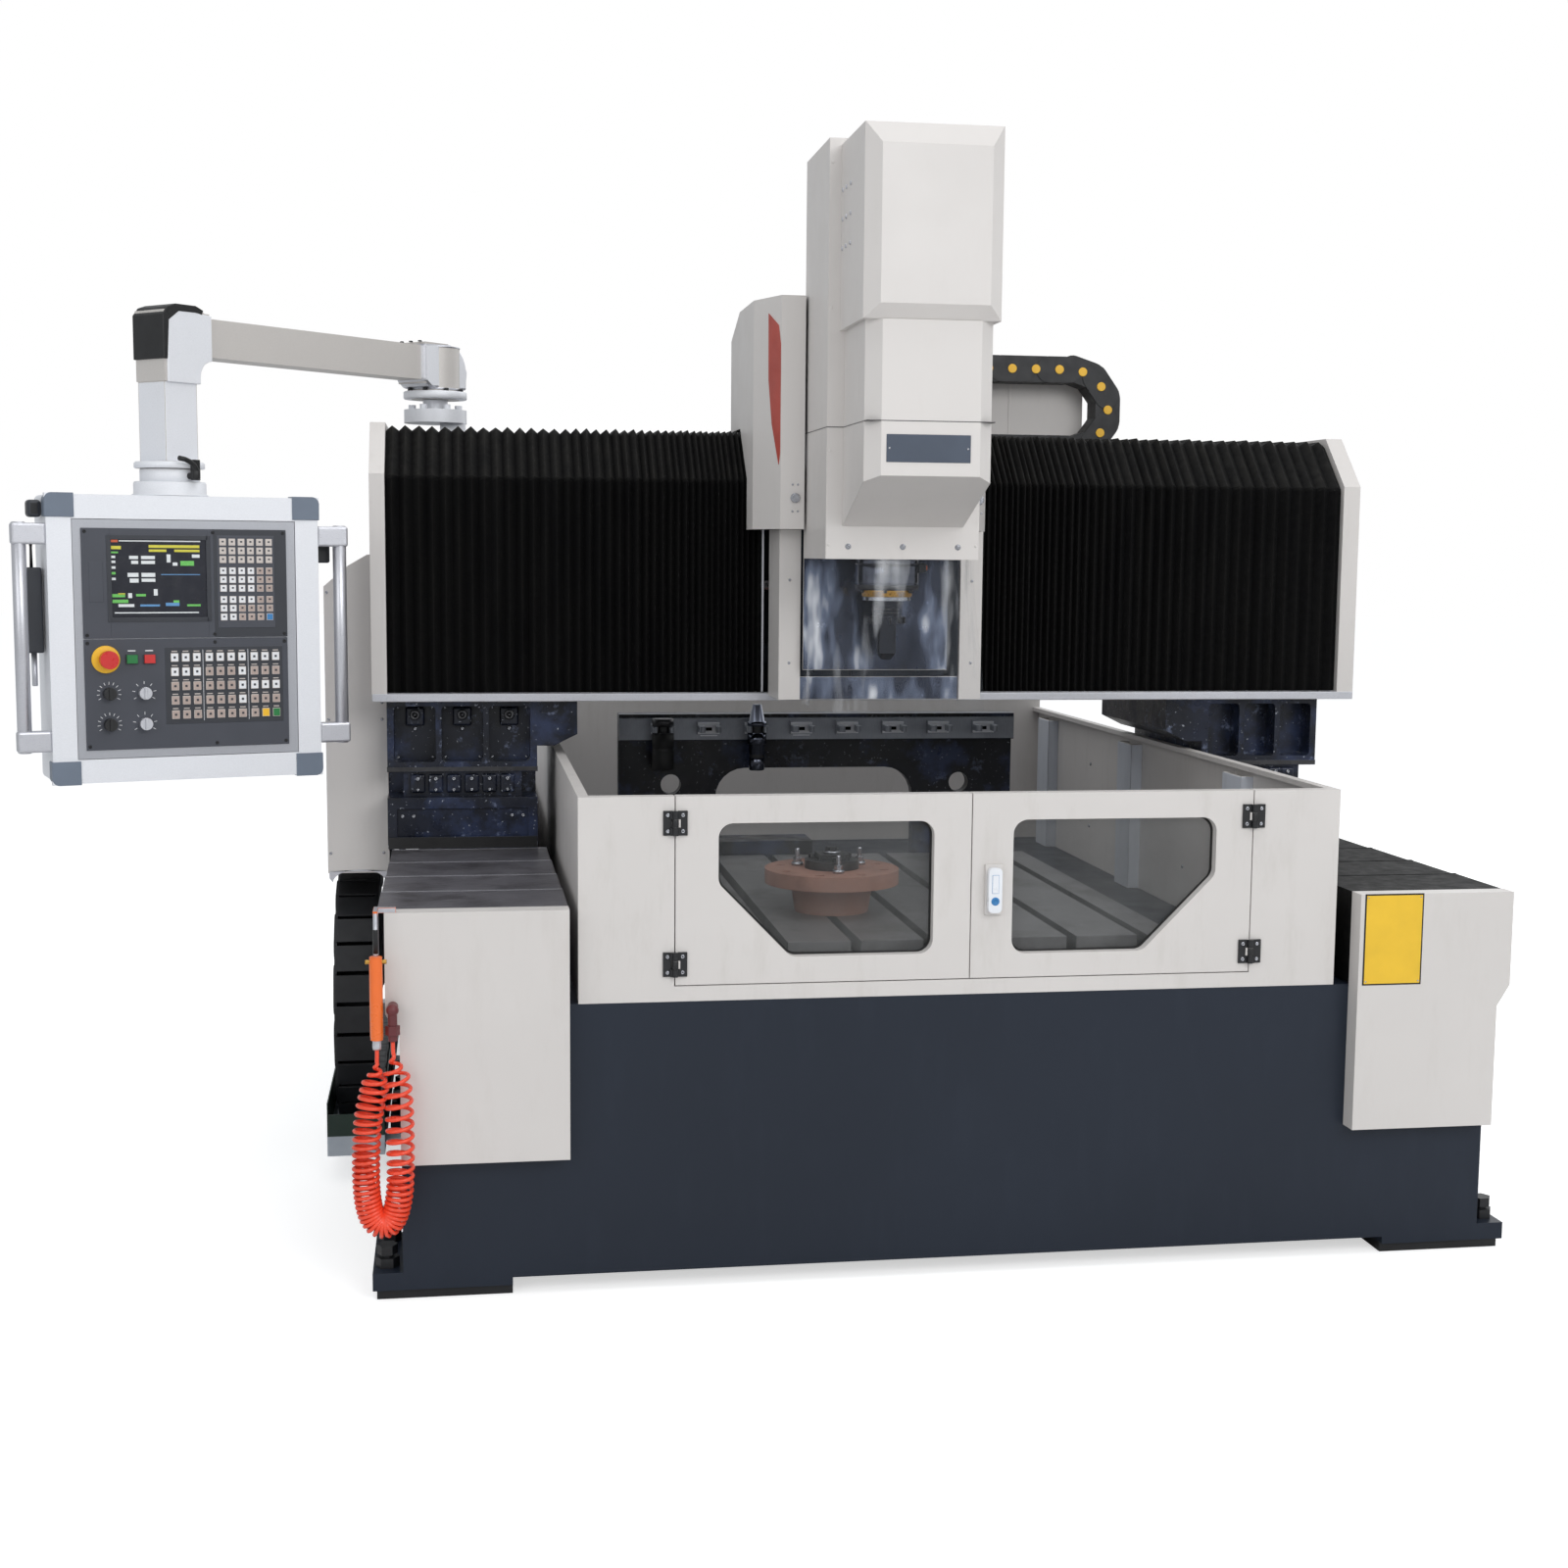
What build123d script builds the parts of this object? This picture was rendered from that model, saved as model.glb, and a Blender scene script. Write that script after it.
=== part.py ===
# Moving-gantry drilling and milling machine, built in millimetres with +Z up.
# The source is laid out in a working frame: X = 0 at the gantry centre, Y = 0 at the
# front face of the base, Z = 0 at the floor. At the end every piece is moved so that
# the origin is the centre of the floor anchor pattern.
from build123d import *
from math import atan2, cos, degrees, hypot, pi, radians, sin, tan
import os

os.makedirs("parts", exist_ok=True)

# Named clearances
slide_gap = 1.0        # between parts that slide on each other
panel_gap = 2.0        # between sheet panels and doors
rest_gap = 0.3         # soft parts beside their neighbours
bearing_gap = 0.05     # a screw in its bearing housings
chain_lift = 4.0       # keeps the outer corners of a chain's bend clear of its tray

# Base casting
base_left = -1100.0
base_right = 1180.0
base_depth = 2600.0
base_bottom = 36.0
base_top = 590.0
base_wall = 30.0
base_rib = 25.0
base_floor = 25.0
base_columns = 3
base_rows = 3
base_deck = 40.0
bed_width = 270.0
bed_height = 100.0
bed_inset = 20.0
bed_end = 60.0

# Feet, levelling bolts and anchors
pad_height = 20.0
foot_out = 60.0
foot_in = 216.0
foot_length = 250.0
foot_rise = 20.0
bolt_offset = 78.0
bolt_r = 12.0
bolt_head_r = 24.0
bolt_head_h = 45.0
anchor_r = 11.0
anchor_out = 32.0

# Linear rails
rail_width = 45.0
rail_height = 38.0
rail_groove = 5.0
y_rail_left_x = -965.0
y_rail_right_x = 1005.0
rail_end = 70.0

# Ball screws
screw_r = 16.0
screw_lift = 45.0      # axis height over the surface that carries the screw
screw_side = 88.0      # from the Y rail to the Y screw
nut_half = 26.0
nut_length = 120.0
bearing_depth = 40.0

# Table
table_half = 550.0
table_front = 180.0
table_back = 1420.0
table_height = 80.0
slot_pitch = 157.0
slot_width = 22.0
slot_t_width = 38.0
slot_t_height = 16.0
slot_neck = 26.0

# Guard around the table
guard_left = -752.0
guard_right = 831.0
guard_height = 413.0
guard_back = 2250.0
guard_back_rise = 130.0
guard_sheet = 3.0
guard_rim = 22.0
guard_lip = 12.0
front_depth = 30.0
door_left_x = -560.0
door_mid_x = 44.0
door_right_x = 642.0
sill_height = 31.0
post_width = 110.0
post_depth = 30.0
window_sheet = 4.0
window_lap = 12.0
window_corner = 30.0

# Front boxes
box_left = -1127.0
box_left_in = -771.0
box_right = 1205.0
box_right_in = 865.0
box_front = 45.0
box_bottom = 287.0
box_top = 788.0
box_notch_z = 590.0
box_notch_drop = 45.0
box_notch_in = 27.0
box_sheet = 3.0

# Gantry columns and crossbeam
column_front = 840.0
column_depth = 540.0
column_left_out = -1146.0
column_left_in = -797.0
column_right_in = 850.0
column_right_out = 1149.0
block_bottom = 793.0
block_top = 904.0
neck_top = 964.0
column_top = 1131.0
neck_inset = 36.0
neck_recess = 130.0
pocket_depth = 60.0
pocket_rib = 14.0
pocket_wall = 16.0
beam_front = 930.0
beam_depth = 400.0
beam_top = 1690.0
beam_wall = 20.0
x_rail_low = 1240.0
x_rail_high = 1570.0

# Bellows and their frame
bellows_front = 840.0
bellows_bottom = 1152.0
bellows_fold = 1646.0
bellows_rise = 111.0
bellows_back = 1100.0
frame_back = 1330.0
frame_fall = 90.0
bellows_sheet = 2.5
pleat_depth = 16.0
pleats = 40
end_left_out = -1178.0
end_left_in = -1143.0
end_right_in = 1180.0
end_right_out = 1222.0
frame_rail_h = 18.0
frame_edge = 40.0
frame_skin = 4.0
saddle_left = -268.0
saddle_right = 262.0

# Head and saddle
head_x = -30.0
head_half = 169.0
head_front = 360.0
head_back = 645.0
head_bottom = 1470.0
head_top = 2350.0
head_sheet = 6.0
cover_half = 143.0
cover_front = 80.0
cover_bevel = 30.0
cover_top = 2336.0
cover_step_z = 1952.0
mid_half = 133.0
mid_bottom = 1640.0
chin_z = 1540.0
spindle_y = 520.0
cartridge_r = 70.5
cartridge_bore = 46.0
cartridge_bottom = 1402.0
cartridge_top = 1760.0
nose_r = 54.0
nose_h = 24.0
holder_r = 42.0
cutter_r = 22.0
tool_tip = 1246.0
film_bottom = 1140.0
film_sheet = 1.0

# Pendant
post_x = -1029.0
post_y = 1190.0
arm_reach_x = -559.0
arm_reach_y = -593.0
arm_bottom = 1890.0
arm_height = 82.0
arm_width = 70.0
drop_tube = 85.0
box_turn = 18.4
pendant_w = 565.0
pendant_d = 160.0
pendant_bottom = 988.0
pendant_top = 1591.0
profile = 50.0


# Small helpers
def block(x0, x1, y0, y1, z0, z1):
    return Pos((x0 + x1) / 2, (y0 + y1) / 2, (z0 + z1) / 2) * Box(x1 - x0, y1 - y0, z1 - z0)


def rod_z(x, y, z0, z1, r):
    return Pos(x, y, (z0 + z1) / 2) * Cylinder(r, z1 - z0)


def rod_y(x, z, y0, y1, r):
    return Pos(x, (y0 + y1) / 2, z) * Rot(90, 0, 0) * Cylinder(r, y1 - y0)


def rod_x(y, z, x0, x1, r):
    return Pos((x0 + x1) / 2, y, z) * Rot(0, 90, 0) * Cylinder(r, x1 - x0)


def cone_z(x, y, z0, z1, r0, r1):
    return Pos(x, y, (z0 + z1) / 2) * Cone(r0, r1, z1 - z0)


def prism_y(points, y0, y1):
    face = make_face(Polyline(*[(x, y0, z) for x, z in points], close=True))
    return extrude(face, amount=y1 - y0, dir=(0, 1, 0))


def prism_x(points, x0, x1):
    face = make_face(Polyline(*[(x0, y, z) for y, z in points], close=True))
    return extrude(face, amount=x1 - x0, dir=(1, 0, 0))


def prism_z(points, z0, z1):
    face = make_face(Polyline(*[(x, y, z0) for x, y in points], close=True))
    return extrude(face, amount=z1 - z0, dir=(0, 0, 1))


def hexagon(x, y, z0, z1, r):
    points = [(x + r * cos(radians(60 * k)), y + r * sin(radians(60 * k))) for k in range(6)]
    return prism_z(points, z0, z1)


def rail(x0, x1, y, z, along):
    # a profiled rail of section rail_width by rail_height with a groove in each side
    half = rail_width / 2
    low = 10.0
    waist = half - rail_groove
    high = rail_height - 12.0
    side = [(half, 0), (half, low), (waist, low + rail_groove), (waist, high), (half, high + 5),
            (half, rail_height)]
    outline = side + [(-a, b) for a, b in reversed(side)]
    if along == "y":
        return prism_y([(y + a, z + b) for a, b in outline], x0, x1)
    return prism_x([(z - b, y + a) for a, b in outline], x0, x1)


# Base, feet and anchors
foot_rows = [foot_length / 2, base_depth / 2, base_depth - foot_length / 2]
bed_top = base_top + bed_height
origin_x = (base_left + base_right) / 2
origin_y = base_depth / 2
left_out = base_left - foot_out
right_out = base_right + foot_out
anchor_left = base_left - anchor_out
anchor_right = base_right + anchor_out
y_screw_left_x = y_rail_left_x + screw_side
y_screw_right_x = y_rail_right_x - screw_side
y_screw_z = bed_top + screw_lift


def base_frame():
    body = block(base_left, base_right, 0, base_depth, base_bottom, base_top)
    # closed hollow cells between the ribs of the welded box
    ribs_x = 2 * base_wall + (base_columns - 1) * base_rib
    ribs_y = 2 * base_wall + (base_rows - 1) * base_rib
    cell_x = (base_right - base_left - ribs_x) / base_columns
    cell_y = (base_depth - ribs_y) / base_rows
    for i in range(base_columns):
        for j in range(base_rows):
            x0 = base_left + base_wall + i * (cell_x + base_rib)
            y0 = base_wall + j * (cell_y + base_rib)
            body -= block(x0, x0 + cell_x, y0, y0 + cell_y, base_bottom + base_floor,
                          base_top - base_deck)
    x0 = base_left + bed_inset
    body += block(x0, x0 + bed_width, bed_end, base_depth - bed_end, base_top, bed_top)
    x1 = base_right - bed_inset
    body += block(x1 - bed_width, x1, bed_end, base_depth - bed_end, base_top, bed_top)
    for x in (y_screw_left_x, y_screw_right_x):
        for y in (bed_end, base_depth - bed_end - bearing_depth):
            housing = block(x - nut_half, x + nut_half, y, y + bearing_depth, bed_top,
                            y_screw_z + nut_half)
            housing -= rod_y(x, y_screw_z, y - 1, y + bearing_depth + 1, screw_r + bearing_gap)
            body += housing
    for y in foot_rows:
        y0 = y - foot_length / 2
        y1 = y + foot_length / 2
        body += block(left_out, base_left + foot_in, y0, y1, pad_height, base_bottom)
        body += block(left_out, base_left, y0, y1, base_bottom, base_bottom + foot_rise)
        body += block(base_right - foot_in, right_out, y0, y1, pad_height, base_bottom)
        body += block(base_right, right_out, y0, y1, base_bottom, base_bottom + foot_rise)
        for x in (anchor_left, anchor_right):
            body -= rod_z(x, y, 0, 100, anchor_r)
            for side in (-1, 1):
                body -= rod_z(x, y + side * bolt_offset, 0, 100, bolt_r + slide_gap)
    return body


def foot_pads():
    # six plain pads under the flanges
    pads = []
    for y in foot_rows:
        y0 = y - foot_length / 2 + 10
        y1 = y + foot_length / 2 - 10
        left = block(left_out + 8, base_left + foot_in, y0, y1, 0, pad_height)
        right = block(base_right - foot_in, right_out - 8, y0, y1, 0, pad_height)
        pads.append(left - rod_z(anchor_left, y, -1, 30, anchor_r))
        pads.append(right - rod_z(anchor_right, y, -1, 30, anchor_r))
    return pads


def levelling_bolts():
    bolts = []
    seat = base_bottom + foot_rise
    for y in foot_rows:
        for x in (anchor_left, anchor_right):
            for side in (-1, 1):
                yb = y + side * bolt_offset
                bolt = rod_z(x, yb, pad_height, seat, bolt_r)
                bolt += hexagon(x, yb, seat, seat + 20, bolt_head_r)
                bolt += rod_z(x, yb, seat + 20, seat + 26, bolt_r)
                bolt += hexagon(x, yb, seat + 26, seat + bolt_head_h, bolt_head_r - 3)
                bolts.append(bolt)
    return bolts


def levelling_feet():
    return foot_pads() + levelling_bolts()


def y_screw(x):
    return rod_y(x, y_screw_z, bed_end - 10, base_depth - bed_end + 10, screw_r)


def y_screw_left():
    return y_screw(y_screw_left_x)


def y_screw_right():
    return y_screw(y_screw_right_x)


def table():
    z0 = base_top
    z1 = base_top + table_height
    body = block(-table_half, table_half, table_front, table_back, z0, z1)
    for k in range(-3, 4):
        x = k * slot_pitch
        body -= block(x - slot_width / 2, x + slot_width / 2, table_front - 1, table_back + 1,
                      z1 - slot_neck, z1 + 1)
        body -= block(x - slot_t_width / 2, x + slot_t_width / 2, table_front - 1, table_back + 1,
                      z1 - slot_neck - slot_t_height, z1 - slot_neck)
    return body


def y_rails():
    rails = []
    for x in (y_rail_left_x, y_rail_right_x):
        rails.append(rail(rail_end, base_depth - rail_end, x, bed_top, "y"))
    return rails


# Covers over the side ways
cover_top_z = box_top - 1.0
cover_sheet = 3.0
way_left_out = -1142.0


def way_cover(x0, x1):
    runs = []
    low = base_top + 2
    for y0, y1 in ((rest_gap, column_front - rest_gap),
                   (column_front + column_depth + rest_gap, base_depth)):
        shell = block(x0, x1, y0, y1, low, cover_top_z)
        shell -= block(x0 + cover_sheet, x1 - cover_sheet, y0 - 1, y1 + 1, low - 1,
                       cover_top_z - cover_sheet)
        for k in range(3):
            step = y0 + (k + 1) * (y1 - y0) / 4
            shell += block(x0 + 8, x1 - 8, step, step + 10, cover_top_z, cover_top_z + 1.2)
        runs.append(shell)
    return runs


def way_cover_left():
    return way_cover(way_left_out, box_left_in - 1)


def way_cover_right():
    return way_cover(box_right_in + 1, box_right - 3)


def front_box(outer, inner, sign):
    # sign is -1 for the left box and 1 for the right one
    low_out = outer - sign * box_notch_in
    outline = [(inner, box_bottom), (low_out, box_bottom),
               (low_out, box_notch_z - box_notch_drop), (outer, box_notch_z),
               (outer, box_top), (inner, box_top)]
    body = prism_y(outline, -box_front, 0)
    t = sign * box_sheet
    hollow = [(inner + t, box_bottom + box_sheet), (low_out - t, box_bottom + box_sheet),
              (low_out - t, box_notch_z - box_notch_drop - 1), (outer - t, box_notch_z - 1),
              (outer - t, box_top - box_sheet), (inner + t, box_top - box_sheet)]
    body -= prism_y(hollow, -box_front + box_sheet, 1)
    return body


def front_cover_left():
    return front_box(box_left, box_left_in, -1)


def front_cover_right():
    return front_box(box_right, box_right_in, 1)


# Guard walls, front frame, doors
guard_top = base_top + guard_height


def guard_wall(x, sign, y0, y1):
    # a folded sheet: skin outside, rim on top turned inward with a lip
    t = guard_sheet
    points = [(x, base_top), (x, guard_top), (x + sign * guard_rim, guard_top),
              (x + sign * guard_rim, guard_top - guard_lip),
              (x + sign * (guard_rim - t), guard_top - guard_lip),
              (x + sign * (guard_rim - t), guard_top - t), (x + sign * t, guard_top - t),
              (x + sign * t, base_top)]
    wall = prism_y(points, y0, y1)
    for y in (525.0, 1305.0, 2084.0):
        a = x + sign * t
        b = a + sign * post_depth
        post = block(min(a, b), max(a, b), y - post_width / 2, y + post_width / 2,
                     base_top, guard_top - guard_lip - 12)
        inner_a = a
        inner_b = b - sign * 2.5
        post -= block(min(inner_a, inner_b), max(inner_a, inner_b), y - post_width / 2 + 2.5,
                      y + post_width / 2 - 2.5, base_top - 1, guard_top)
        wall += post
    return wall


def guard_walls():
    t = guard_sheet
    y0 = front_depth + rest_gap
    body = guard_wall(guard_left, 1, y0, guard_back)
    body += guard_wall(guard_right, -1, y0, guard_back)
    # the rear wall stands higher than the side walls
    rear_top = guard_top + guard_back_rise
    body += block(guard_left, guard_right, guard_back - t, guard_back, base_top, rear_top)
    body += block(guard_left, guard_right, guard_back - guard_rim, guard_back, rear_top - t,
                  rear_top)
    return body


def guard_front():
    left = block(guard_left, door_left_x - panel_gap / 2, 0, front_depth, base_top, guard_top)
    left -= block(guard_left + guard_sheet, door_left_x - panel_gap / 2 - guard_sheet,
                  guard_sheet, front_depth + 1, base_top + sill_height, guard_top - guard_sheet)
    right = block(door_right_x + panel_gap / 2, guard_right, 0, front_depth, base_top, guard_top)
    right -= block(door_right_x + panel_gap / 2 + guard_sheet, guard_right - guard_sheet,
                   guard_sheet, front_depth + 1, base_top + sill_height, guard_top - guard_sheet)
    sill = block(guard_left, guard_right, 0, front_depth, base_top, base_top + sill_height)
    return left + right + sill


left_window_points = [(-473, 948), (-34, 948), (-34, 676), (-326, 676), (-473, 827)]
right_window_points = [(131, 948), (563, 948), (563, 828), (409, 672), (131, 672)]


def outset(points, amount):
    # moves every corner of a convex outline away from the middle along both edge normals
    area = 0.0
    count = len(points)
    for k in range(count):
        a = points[k]
        b = points[(k + 1) % count]
        area += a[0] * b[1] - b[0] * a[1]
    turn = 1.0 if area > 0 else -1.0
    result = []
    for k in range(count):
        a = points[k - 1]
        b = points[k]
        c = points[(k + 1) % count]
        n1 = (turn * (b[1] - a[1]), -turn * (b[0] - a[0]))
        n2 = (turn * (c[1] - b[1]), -turn * (c[0] - b[0]))
        l1 = hypot(n1[0], n1[1])
        l2 = hypot(n2[0], n2[1])
        n1 = (n1[0] / l1, n1[1] / l1)
        n2 = (n2[0] / l2, n2[1] / l2)
        scale = amount / (1 + n1[0] * n2[0] + n1[1] * n2[1])
        result.append((b[0] + scale * (n1[0] + n2[0]), b[1] + scale * (n1[1] + n2[1])))
    return result


def rounded_prism(points, y0, y1, r):
    body = prism_y(points, y0, y1)
    return fillet(body.edges().filter_by(Axis.Y), r)


door_bottom = base_top + sill_height + panel_gap
hinge_axis_y = -8.0
hinge_r = 6.0
hinge_levels = [950.0, 666.0]
leaf_height = 49.0
leaf_width = 24.0
leaf_sheet = 4.0


def door(x0, x1, window, hinge_x, sign):
    body = block(x0, x1, 0, front_depth, door_bottom, guard_top)
    body -= block(x0 + guard_sheet, x1 - guard_sheet, guard_sheet, front_depth - guard_sheet,
                  door_bottom + guard_sheet, guard_top - guard_sheet)
    rim = rounded_prism(outset(window, window_lap + 6), 0.5, front_depth - 0.5,
                        window_corner + window_lap)
    body += rim
    body -= rounded_prism(window, -1, front_depth + 1, window_corner)
    body -= rounded_prism(outset(window, window_lap), front_depth - window_sheet - 1,
                          front_depth + 1, window_corner + window_lap)
    for z in hinge_levels:
        a = hinge_x
        b = hinge_x + sign * leaf_width
        z0 = z - leaf_height / 2
        leaf = block(min(a, b), max(a, b), -leaf_sheet, 0, z0, z0 + leaf_height)
        leaf -= rod_z(hinge_x, hinge_axis_y, z0 - 1, z0 + leaf_height + 1, hinge_r + 1.5)
        knuckle = rod_z(hinge_x, hinge_axis_y, z - 8, z + 8, hinge_r)
        knuckle -= rod_z(hinge_x, hinge_axis_y, z - 20, z + 20, 2.5)
        web = block(min(a, b), max(a, b), -leaf_sheet, 0, z - 8, z + 8)
        tie = block(min(a, a + sign * 10), max(a, a + sign * 10), hinge_axis_y, -leaf_sheet + 1,
                    z - 8, z + 8)
        tie -= rod_z(hinge_x, hinge_axis_y, z - 20, z + 20, 3.5)
        web -= rod_z(hinge_x, hinge_axis_y, z - 20, z + 20, 3.5)
        body += leaf + knuckle + web + tie
    return body


def left_door():
    return door(door_left_x + panel_gap / 2, door_mid_x - panel_gap / 2, left_window_points,
                door_left_x, 1)


latch_x = 90.0
latch_z = 806.0
latch_pivot_z = 784.0


def right_door():
    body = door(door_mid_x + panel_gap / 2, door_right_x - panel_gap / 2, right_window_points,
                door_right_x, -1)
    body += block(latch_x - 18, latch_x + 18, -6, 1, latch_z - 52, latch_z + 52)
    body -= rod_y(latch_x, latch_pivot_z, -10, 20, 7 + slide_gap / 2)
    return body


def window_pane(points):
    outline = outset(points, window_lap - 1.0)
    y0 = front_depth - window_sheet - 1
    return rounded_prism(outline, y0, y0 + window_sheet, window_corner + window_lap - 1)


def left_window():
    return window_pane(left_window_points)


def right_window():
    return window_pane(right_window_points)


def door_hinges():
    # the fixed leaves, each with its two outer knuckles and pin
    leaves = []
    for x, sign in ((door_left_x, -1), (door_right_x, 1)):
        for z in hinge_levels:
            a = x
            b = x + sign * leaf_width
            z0 = z - leaf_height / 2
            z1 = z + leaf_height / 2
            leaf = block(min(a, b), max(a, b), -leaf_sheet, 0, z0, z1)
            leaf -= block(x - hinge_r - 1, x + hinge_r + 1, -20, 0.5, z - 9, z + 9)
            for k0, k1 in ((z0, z - 8 - 0.5), (z + 8 + 0.5, z1)):
                leaf += rod_z(x, hinge_axis_y, k0, k1, hinge_r)
                tie = block(min(a, a + sign * 10), max(a, a + sign * 10), hinge_axis_y, -leaf_sheet,
                            k0, k1)
                leaf += tie
            leaf += rod_z(x, hinge_axis_y, z0, z1, 2.0)
            leaves.append(leaf)
    return leaves


def door_handle():
    body = block(latch_x - 14, latch_x + 14, -20, -6.5, latch_z - 46, latch_z + 46)
    body = fillet(body.edges().filter_by(Axis.Y), 9)
    body += rod_y(latch_x, latch_pivot_z, -6.5, 18, 7)
    body -= rod_y(latch_x, latch_pivot_z, -21, -17, 5)
    return body


# Tool rack
rack_front = 1435.0
rack_sheet = 40.0
rack_left = -560.0
rack_right = 516.0
rack_top = 1052.0
rack_bar = 70.0
arch_left = -300.0
arch_right = 242.0
arch_top = 905.0
arch_r = 80.0
fork_pitch = 125.0
fork_first = -448.0
fork_count = 8
fork_z = 1016.0
fork_half = 8.0
finger_w = 12.0
neck_r = 18.0


def corner_arc(x, z, r, start):
    # points of a quarter circle about (x, z)
    steps = 6
    angles = [radians(start + 90 * k / steps) for k in range(steps + 1)]
    return [(x + r * cos(a), z + r * sin(a)) for a in angles]


def rack_portal():
    y1 = rack_front + rack_sheet
    outline = [(rack_left, base_top), (rack_left, rack_top), (rack_right, rack_top),
               (rack_right, base_top), (arch_right, base_top)]
    outline += corner_arc(arch_right - arch_r, arch_top - arch_r, arch_r, 0)
    outline += corner_arc(arch_left + arch_r, arch_top - arch_r, arch_r, 90)
    outline.append((arch_left, base_top))
    body = prism_y(outline, rack_front, y1)
    for x in (-420.0, 370.0):
        body -= rod_y(x, 862, rack_front - 1, y1 + 1, 27)
    body += block(rack_left, rack_right, rack_front - 25, rack_front, rack_top - rack_bar, rack_top)
    body += block(arch_left - 1, -33, rack_front, rack_front + 130, base_top, 705)
    return body


def rack_forks():
    forks = []
    for k in range(fork_count):
        x = fork_first + k * fork_pitch
        y0 = rack_front - 25
        fork = block(x - 30, x + 30, y0 - 14, y0, fork_z - 18, fork_z + 18)
        for side in (-1, 1):
            a = x + side * (neck_r + finger_w / 2)
            fork += block(a - finger_w / 2, a + finger_w / 2, y0 - 62, y0 - 14,
                          fork_z - fork_half, fork_z + fork_half)
            fork += rod_z(a - side * 3, y0 - 58, fork_z - fork_half, fork_z + fork_half, 7)
        forks.append(fork)
    return forks


def rack_tools():
    tools = []
    y = rack_front - 25 - 44
    x = fork_first
    low = fork_z - fork_half
    high = fork_z + fork_half
    black = rod_z(x, y, low, high, neck_r - bearing_gap)
    black += rod_z(x, y, 912, low, 28)
    black += rod_z(x, y, high, 1044, 28)
    tools.append(black)
    x = fork_first + 2 * fork_pitch
    steel = rod_z(x, y, low, high, neck_r - bearing_gap)
    steel += rod_z(x, y, fork_z - 40, low, 25)
    steel += rod_z(x, y, 908, fork_z - 40, 20)
    steel += rod_z(x, y, high, high + 12, 25)
    steel += cone_z(x, y, high + 12, 1080, 21, 12)
    tools.append(steel)
    return tools


# Workpiece and its clamp
work_x = -141.0
work_y = 560.0
work_r = 153.0
work_bore = 45.0
table_top = base_top + table_height
disc_z0 = table_top + 65.0
disc_z1 = table_top + 98.0


def workpiece():
    body = cone_z(work_x, work_y, table_top, disc_z0, 84, 94)
    body += rod_z(work_x, work_y, disc_z0, disc_z1, work_r)
    body -= rod_z(work_x, work_y, table_top - 1, disc_z1 + 1, work_bore)
    for k in range(8):
        a = radians(22.5 + 45 * k)
        body -= rod_z(work_x + 122 * cos(a), work_y + 122 * sin(a), disc_z0 - 1, disc_z1 + 1, 11)
    return body


def fixture():
    # a stepped plug in the bore with a strap and three hex studs on top
    body = rod_z(work_x, work_y, table_top, disc_z1, work_bore - slide_gap)
    body += rod_z(work_x, work_y, disc_z1, disc_z1 + 20, 62)
    body += block(work_x - 34, work_x + 34, work_y - 34, work_y + 34, disc_z1 + 20, disc_z1 + 34)
    body += hexagon(work_x, work_y, disc_z1 + 34, disc_z1 + 48, 15)
    for k in range(3):
        a = radians(30 + 120 * k)
        x = work_x + 48 * cos(a)
        y = work_y + 48 * sin(a)
        body += hexagon(x, y, disc_z1 + 20, disc_z1 + 30, 9)
    return body


# Compressed air gun, its fitting and its curly hose
gun_x = -1142.0
gun_y = -78.0
gun_bottom = 530.0
gun_body_z0 = 548.0
gun_body_z1 = 710.0
gun_top = 797.0
fitting_x = -1112.0
fitting_z = 605.0
fitting_bottom = 545.0


def air_gun():
    body = rod_z(gun_x, gun_y, gun_body_z0, gun_body_z1, 12)
    body += rod_z(gun_x, gun_y, gun_bottom, gun_body_z0, 8)
    body += rod_z(gun_x, gun_y, gun_body_z1, gun_top, 4)
    body += rod_x(gun_y, 700, gun_x - 20, gun_x + 20, 3)
    # flat hook that lies over the top edge of the left front box
    body += block(gun_x - 4, gun_x + 4, gun_y, -box_front + 22, gun_top - 3, gun_top)
    body += block(gun_x - 4, box_left + 22, -box_front + 6, -box_front + 22, gun_top - 3, gun_top)
    body += block(box_left + 8, box_left + 22, -box_front + 6, -box_front + 22, box_top, gun_top)
    return body


def air_fitting():
    body = rod_y(fitting_x, fitting_z, gun_y, -box_front, 10)
    body += Pos(fitting_x, gun_y, fitting_z) * Sphere(12)
    body += rod_z(fitting_x, gun_y, fitting_bottom, fitting_z, 9)
    body += hexagon(fitting_x, gun_y, fitting_bottom + 12, fitting_bottom + 30, 14)
    return body


hose_r = 28.0
hose_left = -1166.0
hose_right = -1100.0
hose_low = 181.0


def hose_path():
    points = [(gun_x, gun_y, gun_bottom), (gun_x, gun_y, gun_bottom - 60),
              (hose_left, gun_y, gun_bottom - 150), (hose_left, gun_y, hose_low),
              (hose_right, gun_y, hose_low), (hose_right, gun_y, fitting_bottom - 110),
              (fitting_x, gun_y, fitting_bottom - 45), (fitting_x, gun_y, fitting_bottom)]
    return points


def hose_radii(points):
    radii = []
    for k in range(1, len(points) - 1):
        a = Vector(*points[k]) - Vector(*points[k - 1])
        b = Vector(*points[k + 1]) - Vector(*points[k])
        turn = radians(a.get_angle(b))
        reach = 0.45 * min(a.length, b.length)
        radii.append(round(reach / tan(turn / 2), 2))
    return radii


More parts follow.
